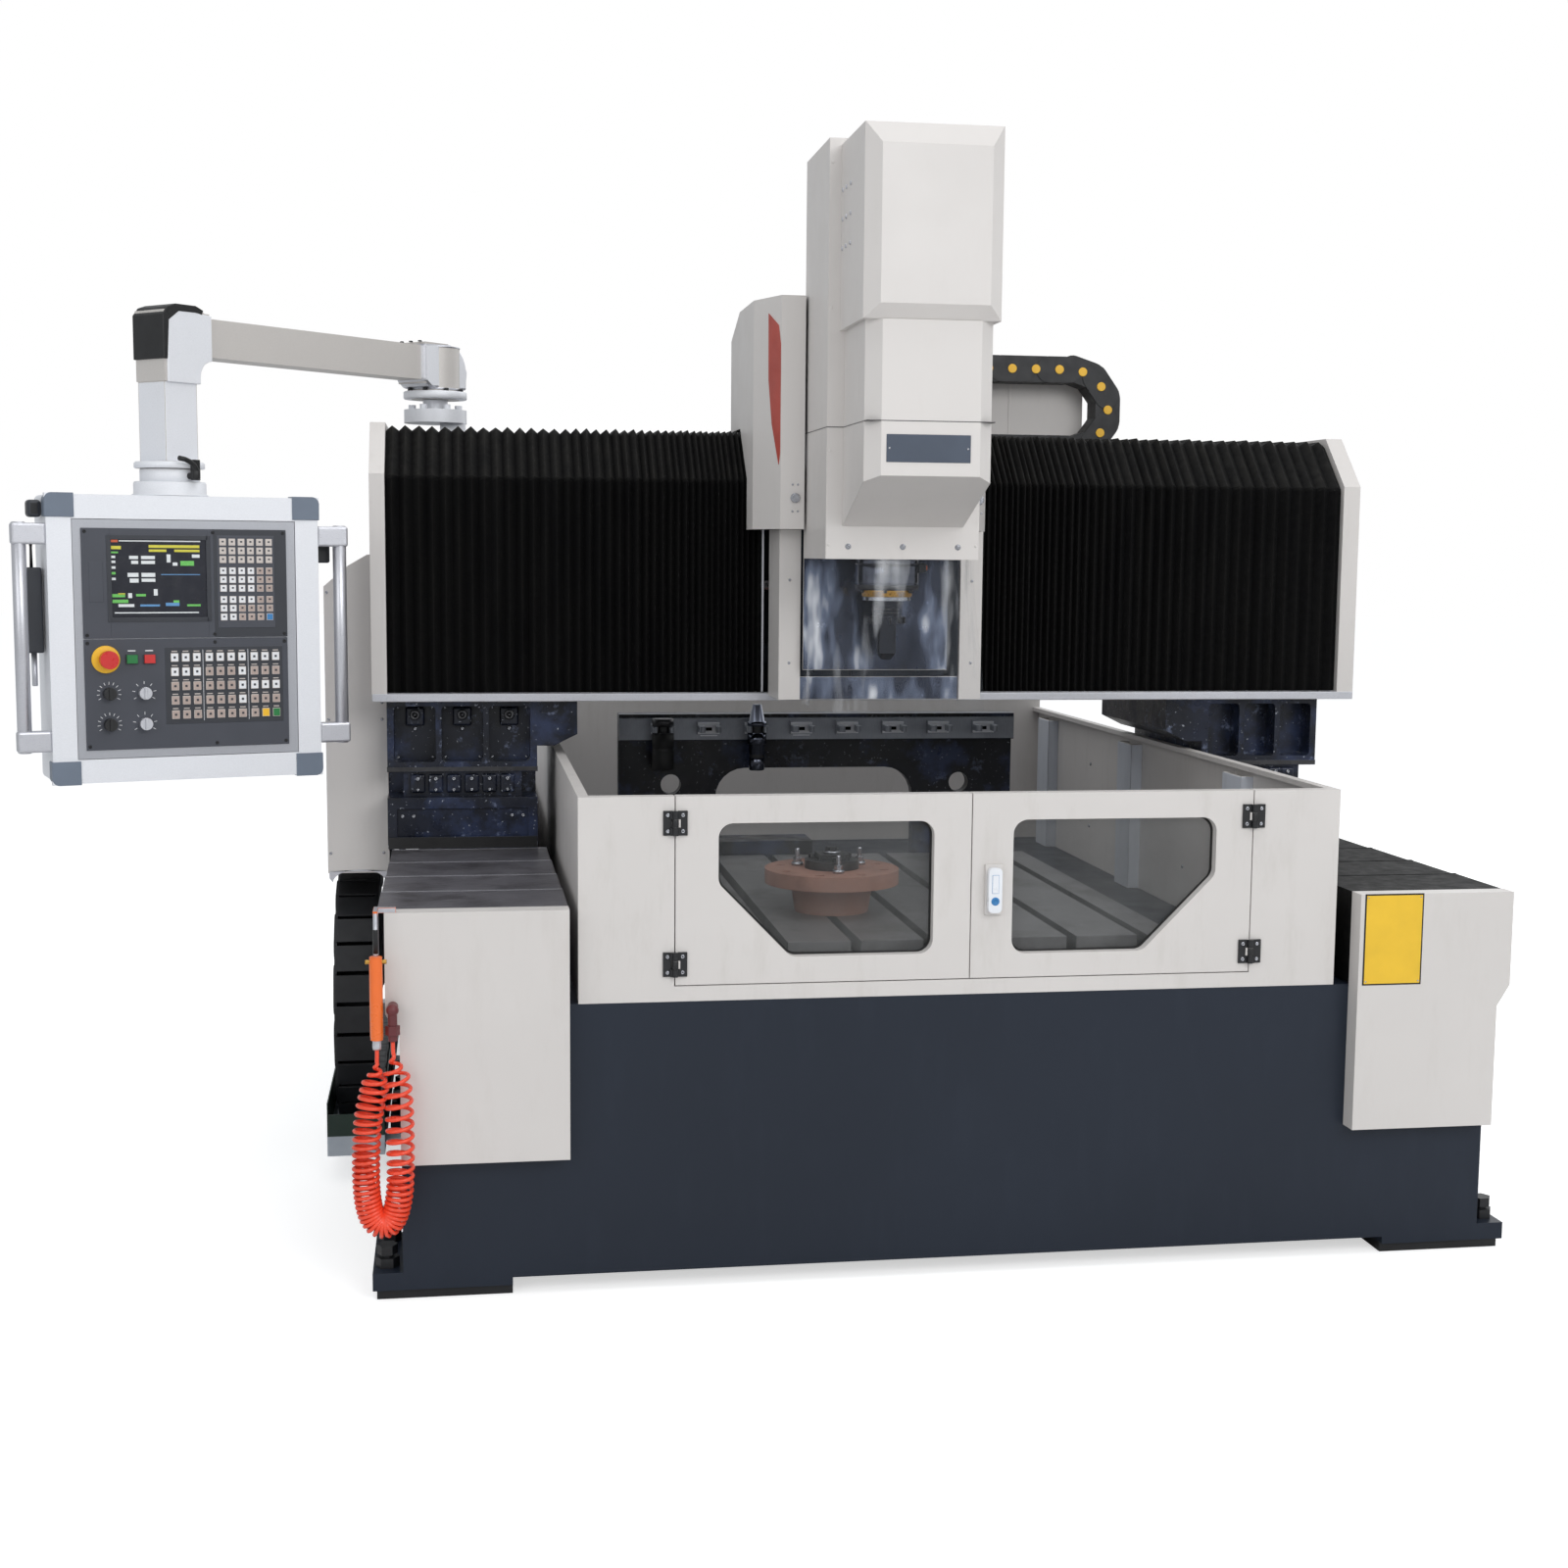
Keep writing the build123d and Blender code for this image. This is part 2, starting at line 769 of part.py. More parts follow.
def air_hose():
    points = hose_path()
    radii = hose_radii(points)
    radii[2] = (hose_right - hose_left) / 2 - 0.1
    radii[3] = (hose_right - hose_left) / 2 - 0.1
    print("hose arc radii", radii)
    line = FilletPolyline(*points, radius=radii)
    start = Plane(origin=points[0], z_dir=(0, 0, -1))
    tube = sweep(start * Circle(hose_r), path=line)
    print("hose volume", round(tube.volume), "section x length",
          round(pi * hose_r ** 2 * line.length))
    return tube


# Tray and chain that carry the gantry cables
tray_left = -1294.0
tray_right = -1161.0
tray_front = 800.0
tray_back = 2500.0
tray_bottom = 62.0
tray_side = 128.0
tray_lip = 100.0
tray_sheet = 3.0


def chain_tray():
    z1 = tray_bottom + tray_side
    body = block(tray_left, tray_right, tray_front, tray_back, tray_bottom, z1)
    body -= block(tray_left + tray_sheet, tray_right - tray_sheet, tray_front + tray_sheet,
                  tray_back + 1, tray_bottom + tray_sheet, z1 + 1)
    body -= block(tray_left + tray_sheet, tray_right - tray_sheet, tray_front - 1,
                  tray_front + tray_sheet + 1, tray_bottom + tray_lip, z1 + 1)
    for y in (850.0, 1600.0, 2250.0):
        body += block(tray_right, base_left, y, y + 60, tray_bottom + 20, tray_bottom + 26)
        body += block(base_left - 6, base_left, y, y + 60, tray_bottom + 20, tray_bottom + 90)
    return body


def link_chain(center, radius, height, width, pitch, run_a, run_b, plane):
    # links along a U: run_a on top, a half turn, run_b below; plane "x" or "y" says
    # which way the loop lies. center is the middle of the half turn.
    cx, cy, cz = center
    inner = height * 0.62
    links = []
    count = int(run_a / pitch)
    for k in range(count):
        links.append((-(k + 0.5) * pitch, radius, 0.0))
    count = int(pi * radius / pitch)
    for k in range(count):
        a = pi / 2 - (k + 0.5) * pi / count
        links.append((radius * cos(a), radius * sin(a), degrees(a) - 90))
    count = int(run_b / pitch)
    for k in range(count):
        links.append((-(k + 0.5) * pitch, -radius, 0.0))
    body = None
    bend = Rot(90, 0, 0) * Cylinder(radius + inner / 2, width - 8)
    bend -= Rot(90, 0, 0) * Cylinder(radius - inner / 2, width + 2)
    bend -= Pos(-radius - 200, 0, 0) * Box(2 * radius + 400, width + 10, 4 * radius)
    body = bend
    if run_a > 0:
        body += Pos(-run_a / 2, 0, radius) * Box(run_a + 2, width - 8, inner)
    if run_b > 0:
        body += Pos(-run_b / 2, 0, -radius) * Box(run_b + 2, width - 8, inner)
    for along, up, angle in links:
        length = pitch - 3
        link = Box(length, width, height)
        body += Pos(along, 0, up) * Rot(0, -angle, 0) * link
    if plane == "x":
        return Pos(cx, cy, cz) * body
    return Pos(cx, cy, cz) * Rot(0, 0, -90) * body


y_chain_r = 275.0
y_chain_h = 60.0
y_chain_w = 105.0
y_chain_y = 1166.0
y_chain_pitch = 66.0
y_chain_z = tray_bottom + tray_sheet + chain_lift + y_chain_h / 2 + y_chain_r


def y_chain():
    x = (tray_left + tray_right) / 2
    return link_chain((x, y_chain_y, y_chain_z), y_chain_r, y_chain_h, y_chain_w, y_chain_pitch,
                      198.0, 990.0, "y")


# Gantry columns
carriage_half = 62.0


def column(x_out, x_in, rail_x, screw_x):
    y0 = column_front
    y1 = column_front + column_depth
    low, high = min(x_out, x_in), max(x_out, x_in)
    body = block(low, high, y0, y1, block_bottom, block_top)
    body += block(low + neck_inset, high - neck_inset, y0 + 40, y1, block_top, neck_top)
    body += block(low, high, y0 + neck_recess, y1, block_top, neck_top)
    body += block(low, high, y0 + 25, y1, neck_top, column_top)
    wide = (high - low - 2 * pocket_wall - 2 * pocket_rib) / 3
    for k in range(3):
        a = low + pocket_wall + k * (wide + pocket_rib)
        pocket = block(a, a + wide, y0 + 20, y0 + 25 + pocket_depth, neck_top + 22, column_top - 14)
        body -= fillet(pocket.edges().filter_by(Axis.Y), 10)
    body -= block(low + 22, high - 22, y0 - 1, y0 + 10, block_bottom + 16, block_top - 26)
    for y in (y0 + 60, y1 - 220):
        shoe = block(rail_x - carriage_half, rail_x + carriage_half, y, y + 160,
                     bed_top + 10, block_bottom)
        half = rail_width / 2 + slide_gap
        shoe -= block(rail_x - half, rail_x + half, y - 1, y + 161, bed_top,
                      bed_top + rail_height + slide_gap)
        body += shoe
    y_nut = y0 + (column_depth - nut_length) / 2
    nut = block(screw_x - nut_half, screw_x + nut_half, y_nut, y_nut + nut_length,
                y_screw_z - nut_half, block_bottom)
    nut -= rod_y(screw_x, y_screw_z, y_nut - 1, y_nut + nut_length + 1, screw_r + slide_gap)
    return body + nut


def bracket(x, sign, depth):
    # cast bracket on the inner side of the upper block, cut off diagonally below
    y0 = column_front + 25
    reach = 95.0
    low = max(guard_top + 20, neck_top + 10)
    points = [(x, column_top), (x + sign * reach, column_top), (x + sign * reach, 1050),
              (x + sign * 40, low), (x, low)]
    return prism_y(points, y0, y0 + depth)


def column_left():
    body = column(column_left_out, column_left_in, y_rail_left_x, y_screw_left_x)
    body += bracket(column_left_in, 1, column_depth - 25)
    return body


def column_right():
    body = column(column_right_out, column_right_in, y_rail_right_x, y_screw_right_x)
    body += bracket(column_right_in, -1, column_depth - 25)
    return body


beam_left = end_left_in
beam_right = end_right_in


def crossbeam():
    y1 = beam_front + beam_depth
    body = block(beam_left, beam_right, beam_front, y1, column_top, beam_top)
    body -= block(beam_left + beam_wall, beam_right - beam_wall, beam_front + beam_wall,
                  y1 - beam_wall, column_top + beam_wall, beam_top - beam_wall)
    for x in (-600.0, 0.0, 600.0):
        body += block(x - 8, x + 8, beam_front + 10, y1 - 10, column_top + 10, beam_top - 10)
    for z in (x_rail_low, x_rail_high):
        body += rail(beam_left + 30, beam_right - 30, z, beam_front, "x")
    for x in (beam_left + x_bearing, beam_right - x_bearing - bearing_depth):
        housing = block(x, x + bearing_depth, x_screw_y - nut_half, beam_front,
                        x_screw_z - nut_half, x_screw_z + nut_half)
        housing -= rod_x(x_screw_y, x_screw_z, x - 1, x + bearing_depth + 1,
                         screw_r + bearing_gap)
        body += housing
    return body


# Bellows and frame
def bellows_profile(d):
    # outer line of the cover in Y and Z, moved outward by d
    k = 0.41421356
    y0 = bellows_front - d
    fold = bellows_fold + k * d
    top = bellows_fold + bellows_rise + d
    turn = bellows_front + bellows_rise - k * d
    return [(y0, bellows_bottom), (y0, fold), (turn, top), (bellows_back, top)]


def bellows(x_start, x_end, wide_at_start):
    stations = []
    count = 2 * pleats
    for k in range(count + 1):
        s = k / count
        even = s
        graded = s + 0.16 * sin(pi * s) * (1 if wide_at_start else -1)
        stations.append(x_start + (x_end - x_start) * (0.2 * even + 0.8 * graded))
    outer = []
    inner = []
    for k, x in enumerate(stations):
        d = 0.0 if k % 2 == 0 else pleat_depth
        outer.append([(x, y, z) for y, z in bellows_profile(d)])
        inner.append([(x, y, z) for y, z in bellows_profile(d - bellows_sheet)])
    faces = []

    def quad(*points):
        faces.append(Face(Wire.make_polygon([Vector(*p) for p in points], close=True)))

    for k in range(count):
        a, b = outer[k], outer[k + 1]
        c, e = inner[k], inner[k + 1]
        for j in range(3):
            quad(a[j], b[j], b[j + 1], a[j + 1])
            quad(c[j], c[j + 1], e[j + 1], e[j])
        quad(a[0], c[0], e[0], b[0])
        quad(a[3], b[3], e[3], c[3])
    for ring_a, ring_b in ((outer[0], inner[0]), (outer[-1], inner[-1])):
        for j in range(3):
            quad(ring_a[j], ring_a[j + 1], ring_b[j + 1], ring_b[j])
    shell = Shell(faces)
    solid = Solid(shell)
    return solid


def bellows_left():
    return bellows(end_left_in + rest_gap, saddle_left - rest_gap, True)


def bellows_right():
    return bellows(saddle_right + rest_gap, end_right_in - rest_gap, False)


def bellows_frame():
    # two end plates joined by the slim rail under the bellows
    d = pleat_depth + 4
    line = bellows_profile(d)
    base = column_top
    top = line[3][1]
    points = [(line[0][0], base), line[1], line[2], (frame_back - frame_fall, top),
              (frame_back, top - frame_fall), (frame_back, base)]
    left = prism_x(points, end_left_out, end_left_in)
    right = prism_x(points, end_right_in, end_right_out)
    core = outset(points, -frame_edge)
    left -= prism_x(core, end_left_out + frame_skin, end_left_in + 1)
    right -= prism_x(core, end_right_in - 1, end_right_out - frame_skin)
    y0 = line[0][0]
    strip = block(end_left_in, end_right_in, y0, y0 + 6, base, base + frame_rail_h)
    strip += block(end_left_in, end_right_in, y0, beam_front, base, base + 2.5)
    return left + right + strip


side_cover_x0 = -1291.0
side_cover_y0 = 950.0
side_cover_y1 = 1330.0
side_cover_z0 = 712.0
side_cover_top = 1469.0


def side_cover():
    x1 = column_left_out - rest_gap
    outer = [(x1, side_cover_z0), (side_cover_x0, side_cover_z0), (side_cover_x0, 1394),
             (-1234, 1443), (-1190, side_cover_top), (end_left_out - 2, side_cover_top),
             (end_left_out - 2, column_top), (x1, column_top)]
    body = prism_y(outer, side_cover_y0, side_cover_y1)
    t = 3.0
    hollow = [(x1 - 12, side_cover_z0 - 1), (side_cover_x0 + t, side_cover_z0 - 1),
              (side_cover_x0 + t, 1392), (-1233, 1439), (-1190, side_cover_top - t),
              (end_left_out - 2 - t, side_cover_top - t), (end_left_out - 2 - t, column_top - t),
              (x1 - 12, column_top - t)]
    body -= prism_y(hollow, side_cover_y0 + t, side_cover_y1 - t)
    # bracket under the cover that holds the moving end of the chain
    foot_z = y_chain_z + y_chain_r + y_chain_h / 2
    body += block(side_cover_x0 + 14, x1 - 14, side_cover_y1 - 80, side_cover_y1, foot_z, foot_z + 6)
    body += block(side_cover_x0 + 14, x1 - 14, side_cover_y1 - 6, side_cover_y1, foot_z,
                  side_cover_z0 + 30)
    return body


# Cable chain of the saddle and the cover behind it
x_chain_r = 101.0
x_chain_h = 70.0
x_chain_w = 76.0
x_chain_y = 1262.0
x_chain_z = 1858.0
x_chain_x = 599.0
x_chain_pitch = 63.0
bellows_top = bellows_fold + bellows_rise
chain_cover_left = -270.0
chain_cover_right = 655.0
chain_cover_top = 1985.0


def x_chain():
    return link_chain((x_chain_x, x_chain_y, x_chain_z), x_chain_r, x_chain_h, x_chain_w,
                      x_chain_pitch, 567.0, 630.0, "x")


def chain_cover():
    y0 = x_chain_y + x_chain_w / 2 + 4
    y1 = frame_back
    x0 = chain_cover_left
    x1 = chain_cover_right
    z1 = chain_cover_top
    body = block(x0, x1, y0, y1, beam_top, z1)
    body -= block(x0 + 3, x1 - 3, y0 + 3, y1 + 1, beam_top + 3, z1 - 3)
    for x in (300.0, 455.0):
        body -= block(x, x + 3, y0 - 1, y0 + 1, beam_top + 20, z1 - 20)
    floor = x_chain_z - x_chain_r - x_chain_h / 2 - chain_lift
    front = x_chain_y - x_chain_w / 2 - 8
    body += block(x0, x1, front, y0, floor - 3, floor)
    body += block(x0, x1, front, front + 3, beam_top, floor + 14)
    return body


def pendant_post():
    x0 = post_x + 11
    body = block(x0 - 40, x0 + 92, post_y - 60, post_y + 60, beam_top, beam_top + 12)
    body += block(x0, x0 + 62, post_y - 31, post_y + 31, beam_top + 12, 1790)
    body += rod_z(post_x, post_y, 1790, 1822, 76)
    body += rod_z(post_x, post_y, 1822, 1846, 30)
    for k in range(6):
        a = radians(60 * k)
        body += hexagon(post_x + 56 * cos(a), post_y + 56 * sin(a), 1822, 1834, 9)
    return body


# Saddle
saddle_y0 = 660.0
x_screw_z = (x_rail_low + x_rail_high) / 2
x_screw_y = beam_front - screw_lift
x_bearing = 60.0


def x_screw():
    return rod_x(x_screw_y, x_screw_z, beam_left + x_bearing - 10, beam_right - x_bearing + 10,
                 screw_r)


tower_z0 = 1200.0
tower_z1 = 2000.0
z_screw_y = head_back + screw_lift + 10
z_rail_half = 17.0


def saddle_plate():
    y_back = beam_front - rail_height - 6
    body = block(saddle_left + 30, saddle_right - 30, 862, y_back, 1165, 1640)
    body += block(-200, 140, head_back + 32, 862, tower_z0, tower_z1)
    for z in (x_rail_low, x_rail_high):
        half = rail_width / 2 + slide_gap
        shoe = block(saddle_left + 40, saddle_right - 40, y_back - 1, beam_front - 12, z - 52, z + 52)
        shoe -= block(saddle_left, saddle_right, beam_front - rail_height - slide_gap,
                      beam_front + 1, z - half, z + half)
        body += shoe
    body += block(head_x - nut_length / 2, head_x + nut_length / 2, y_back - 1, beam_front - 6,
                  x_screw_z - 40, x_screw_z + 40)
    body -= rod_x(x_screw_y, x_screw_z, saddle_left, saddle_right, screw_r + slide_gap)
    # channel for the vertical screw and its nut
    body -= block(head_x - 50, head_x + 50, head_back + 20, head_back + 100, tower_z0 - 1,
                  tower_z1 + 1)
    for x in (head_x - 120, head_x + 120):
        body += block(x - z_rail_half, x + z_rail_half, head_back + 8, head_back + 33,
                      tower_z0 + 10, tower_z1 - 10)
    for z in (tower_z0, tower_z1 - 25):
        body += block(head_x - 50, head_x + 50, head_back + 24, head_back + 101, z, z + 25)
    body -= rod_z(head_x, z_screw_y, tower_z0 - 1, tower_z1 + 1, screw_r + bearing_gap)
    return body


def z_screw():
    # the screw with its belt pulley on top
    body = rod_z(head_x, z_screw_y, tower_z0 + 3, tower_z1 + 2, screw_r)
    body += rod_z(head_x, z_screw_y, tower_z1 + 2, tower_z1 + 28, screw_r + 14)
    return body


saddle_cover_left = -306.0
saddle_cover_right = 246.0
saddle_cover_front = 604.0
saddle_cover_back = 1110.0
saddle_fall_y = 150.0
saddle_fall_z = 55.0
saddle_cover_z0 = 1535.0
saddle_cover_top = 2053.0


def saddle_cover():
    x0 = saddle_cover_left
    x1 = saddle_cover_right
    y0 = saddle_cover_front
    y1 = saddle_cover_back
    wide = 46.0
    deep = 120.0
    outline = [(x0, y0 + deep), (x0 + wide, y0), (x1 - wide, y0), (x1, y0 + deep), (x1, y1),
               (x0, y1)]
    body = prism_z(outline, saddle_cover_z0, saddle_cover_top)
    t = 3.0
    hollow = [(x0 + t, y0 + deep), (x0 + wide, y0 + t), (x1 - wide, y0 + t), (x1 - t, y0 + deep),
              (x1 - t, y1 + 1), (x0 + t, y1 + 1)]
    body -= prism_z(hollow, saddle_cover_z0 - 1, saddle_cover_top - t)
    # way for the head through the front, top and bottom
    body -= block(head_x - head_half - 6, head_x + head_half + 6, y0 - 1, head_back + 20,
                  saddle_cover_z0 - 1, saddle_cover_top + 1)
    # cut away where the bellows and the beam pass behind
    line = bellows_profile(pleat_depth + 3)
    cut = [(line[0][0], 1400), (line[0][0], line[1][1]), line[2], (y1 + 2, line[3][1]),
           (y1 + 2, 1400)]
    body -= prism_x(cut, x0 - 1, x1 + 1)
    fall = [(y1 + 1, saddle_cover_top + 1), (y1 - saddle_fall_y, saddle_cover_top + 1),
            (y1 - saddle_fall_y, saddle_cover_top), (y1, saddle_cover_top - saddle_fall_z),
            (y1 + 1, saddle_cover_top - saddle_fall_z)]
    body -= prism_x(fall, x0 - 1, x1 + 1)
    slope = [(y1 - saddle_fall_y, saddle_cover_top), (y1, saddle_cover_top - saddle_fall_z),
             (y1, line[3][1]), (y1 - t, line[3][1]), (y1 - t, saddle_cover_top - saddle_fall_z - t),
             (y1 - saddle_fall_y, saddle_cover_top - t)]
    body += prism_x(slope, x0 + 1, x1 - 1)
    stay = block(-200, 140, 780, 850, tower_z1, saddle_cover_top - 1)
    # arm that carries the moving end of the cable chain
    z_arm = x_chain_z + x_chain_r - x_chain_h / 2
    arm = block(0, 90, y1 - 1, x_chain_y + x_chain_w / 2, z_arm - 6, z_arm)
    return body + stay + arm


def saddle_skirt():
    # channel-shaped lower covers each side, joined by the polished splash plate
    z0 = 1145.0
    z1 = saddle_cover_z0 - rest_gap
    back = bellows_front - pleat_depth - 6
    left = block(-252, -204, saddle_y0, saddle_y0 + 3, z0, z1)
    left += block(-252, -249, saddle_y0, back, z0, z1)
    right = block(176, 226, saddle_y0, saddle_y0 + 3, z0, z1)
    right += block(223, 226, saddle_y0, back, z0, z1)
    plate = block(-204, 176, saddle_y0 + 10, saddle_y0 + 13, z0, 1198)
    plate += block(-206, -202, saddle_y0, saddle_y0 + 13, z0, z1)
    plate += block(174, 178, saddle_y0, saddle_y0 + 13, z0, z1)
    return left + right + plate


# Head
def head_box():
    x0 = head_x - head_half
    x1 = head_x + head_half
    t = head_sheet
    body = block(x0, x1, head_front, head_back, head_bottom, head_top)
    body -= block(x0 + t, x1 - t, head_front + t, head_back - 14, head_bottom - 1, head_top - t)
    body += block(x0 + t - 1, x1 - t + 1, head_front + t - 1, head_back - 13, 1740, 1780)
    body += block(x0 + t - 1, x1 - t + 1, head_front + t - 1, head_back - 13, 1520, 1545)
    body -= rod_z(head_x, spindle_y, 1500, 1800, cartridge_r)
    # the back wall runs on down behind the spindle nose as a splash plate
    body += block(x0, x1, head_back - 6, head_back, back_plate_bottom, head_bottom + 1)
    return body


z_nut_bottom = 1690.0
back_plate_bottom = 1215.0


def head_nut_block():
    # nut for the vertical screw and shoes for its rails
    y = z_screw_y
    nut = block(head_x - 40, head_x + 40, head_back, y + 24, z_nut_bottom, z_nut_bottom + 80)
    nut -= rod_z(head_x, y, z_nut_bottom - 1, z_nut_bottom + 81, screw_r + slide_gap)
    for x in (head_x - 120, head_x + 120):
        for z in (1650.0, 1900.0):
            shoe = block(x - 34, x + 34, head_back, head_back + 24, z, z + 90)
            half = z_rail_half + slide_gap
            shoe -= block(x - half, x + half, head_back + 7, head_back + 40, z - 1, z + 91)
            nut += shoe
    return nut


def front_shell(half, front, z0, z1, bevel, low_bevel):
    # a cover with bevelled front edges that stands on the front face of the head
    x0 = head_x - half
    x1 = head_x + half
    outline = [(x0, head_front), (x0, front + bevel), (x0 + bevel, front), (x1 - bevel, front),
               (x1, front + bevel), (x1, head_front)]
    body = prism_z(outline, z0, z1)
    side = [(front - 1, z1 + 1), (front - 1, z1 - 46), (front + bevel, z1 + 1)]
    body -= prism_x(side, x0 - 1, x1 + 1)
    if low_bevel:
        side = [(front - 1, z0 - 1), (front - 1, z0 + 29), (front + bevel, z0 - 1)]
        body -= prism_x(side, x0 - 1, x1 + 1)
    return body


def head_cover():
    upper = front_shell(cover_half, cover_front, cover_step_z, cover_top, cover_bevel, True)
    front = cover_front + 26
    x0 = head_x - mid_half
    x1 = head_x + mid_half
    outline = [(x0, head_front), (x0, front + cover_bevel), (x0 + cover_bevel, front),
               (x1 - cover_bevel, front), (x1, front + cover_bevel), (x1, head_front)]
    mid = prism_z(outline, chin_z, cover_step_z)
    chin = [(front - 1, mid_bottom), (front - 1, chin_z - 1), (head_front + 1, chin_z - 1),
            (head_front, chin_z)]
    mid -= prism_x(chin, x0 - 1, x1 + 1)
    t = 3.0
    body = upper + mid
    inner_upper = [(head_x - cover_half + t, head_front + 1),
                   (head_x - cover_half + t, cover_front + cover_bevel + t),
                   (head_x - cover_half + cover_bevel + t, cover_front + t + 1),
                   (head_x + cover_half - cover_bevel - t, cover_front + t + 1),
                   (head_x + cover_half - t, cover_front + cover_bevel + t),
                   (head_x + cover_half - t, head_front + 1)]
    hollow = prism_z(inner_upper, cover_step_z + 30, cover_top - 50)
    inner_mid = [(x0 + t, head_front + 1), (x0 + t, front + cover_bevel + t),
                 (x0 + cover_bevel + t, front + t + 1), (x1 - cover_bevel - t, front + t + 1),
                 (x1 - t, front + cover_bevel + t), (x1 - t, head_front + 1)]
    hollow += prism_z(inner_mid, mid_bottom + 6, cover_step_z + 31)
    # the slanted chin is sheet as well
    fall = (mid_bottom - chin_z) / (head_front - front)
    wall = 5.5
    y_in = front + cover_bevel + 6
    inner_chin = [(y_in, mid_bottom + 7), (y_in, mid_bottom - fall * (y_in - front) + wall),
                  (head_front + 1, chin_z + wall), (head_front + 1, mid_bottom + 7)]
    hollow += prism_x(inner_chin, x0 + t, x1 - t)
    return body - hollow


def spindle_cartridge():
    body = rod_z(head_x, spindle_y, cartridge_bottom, cartridge_top, cartridge_r)
    body += rod_z(head_x, spindle_y, 1781, 1800, cartridge_r + 22)
    body += rod_z(head_x, spindle_y, cartridge_top - 1, 1782, cartridge_r)
    body -= rod_z(head_x, spindle_y, cartridge_bottom - 1, 1801, cartridge_bore)
    return body


def curtain():
    x0 = head_x - head_half + head_sheet + rest_gap
    x1 = head_x + head_half - head_sheet - rest_gap
    y0 = head_front + head_sheet + rest_gap
    y1 = 600.0
    top = 1515.0
    body = block(x0, x1, y0, y1, film_bottom, top)
    body -= block(x0 + film_sheet, x1 - film_sheet, y0 + film_sheet, y1 + 1, film_bottom - 1,
                  top + 1)
    return body


def spindle_shaft():
    z0 = cartridge_bottom - nose_h
    body = rod_z(head_x, spindle_y, z0, cartridge_bottom - 1, nose_r)
    body += rod_z(head_x, spindle_y, cartridge_bottom - 2, 1840, cartridge_bore - slide_gap)
    body -= cone_z(head_x, spindle_y, z0, z0 + 66, 22.3, 13.3)
    body -= rod_z(head_x, spindle_y, z0 + 60, 1841, 9)
    return body


def tool_holder():
    z0 = cartridge_bottom - nose_h
    body = cone_z(head_x, spindle_y, z0, z0 + 60, 22.0, 13.5)
    body += rod_z(head_x, spindle_y, z0 - 14, z0, 31)
    body += rod_z(head_x, spindle_y, z0 - 36, z0 - 14, 26)
    body += rod_z(head_x, spindle_y, z0 - 52, z0 - 36, holder_r)
    body += rod_z(head_x, spindle_y, tool_tip + 14, z0 - 52, cutter_r)
    body += cone_z(head_x, spindle_y, tool_tip, tool_tip + 14, 12, cutter_r)
    return body


# Pendant arm and box
axis_x = post_x + arm_reach_x
axis_y = post_y + arm_reach_y
arm_angle = degrees(atan2(arm_reach_y, arm_reach_x))
arm_length = hypot(arm_reach_x, arm_reach_y)
arm_top = arm_bottom + arm_height


def pendant_arm():
    # built along +X from the post, then turned to the arm direction
    r = 60.0
    body = rod_z(0, 0, 1847, 1872, 58)
    body += rod_z(0, 0, 1872, arm_top, r)
    body += block(0, 80, -45, 45, arm_bottom - 8, arm_top + 8)
    tube = block(70, arm_length - 60, -arm_width / 2, arm_width / 2, arm_bottom, arm_top)
    tube -= block(66, arm_length - 50, -arm_width / 2 + 5, arm_width / 2 - 5, arm_bottom + 5,
                  arm_top - 5)
    body += tube
    body += block(arm_length - 78, arm_length + 44, -46, 46, arm_bottom - 8, arm_top + 8)
    half = drop_tube / 2
    body += block(arm_length - 50, arm_length + 44, -46, 46, 1832, arm_bottom)
    drop = block(arm_length - half, arm_length + half, -half, half, 1662, 1833)
    drop -= block(arm_length - half + 5, arm_length + half - 5, -half + 5, half - 5, 1661, 1834)
    body += drop
    cap = [(arm_length + 46, 1880), (arm_length + 46, arm_top - 4), (arm_length + 14, arm_top + 20),
           (arm_length - 40, arm_top + 20), (arm_length - 64, arm_top + 8),
           (arm_length - 40, arm_top - 20), (arm_length + 10, 1880)]
    shell = prism_y(cap, -48, 48)
    body += shell
    body += rod_z(arm_length, 0, 1650, 1662, 70)
    body -= rod_z(0, 0, 1840, 1872, 31)
    return Pos(post_x, post_y, 0) * Rot(0, 0, arm_angle) * body


box_shift = 15.0
box_x0 = box_shift - pendant_w / 2
box_x1 = box_shift + pendant_w / 2
box_y0 = -pendant_d / 2
box_y1 = pendant_d / 2


def to_pendant(shape):
    return Pos(axis_x, axis_y, 0) * Rot(0, 0, box_turn) * shape


def handle(x, sign):
    out = x + sign * 52
    body = rod_z(out, box_y0 + 18, pendant_bottom + 70, pendant_top - 62, 14)
    for z in (pendant_bottom + 70, pendant_top - 102):
        a = min(x - sign * 2, out)
        b = max(x - sign * 2, out)
        body += block(a, b, box_y0 + 4, box_y0 + 32, z, z + 40)
    return body


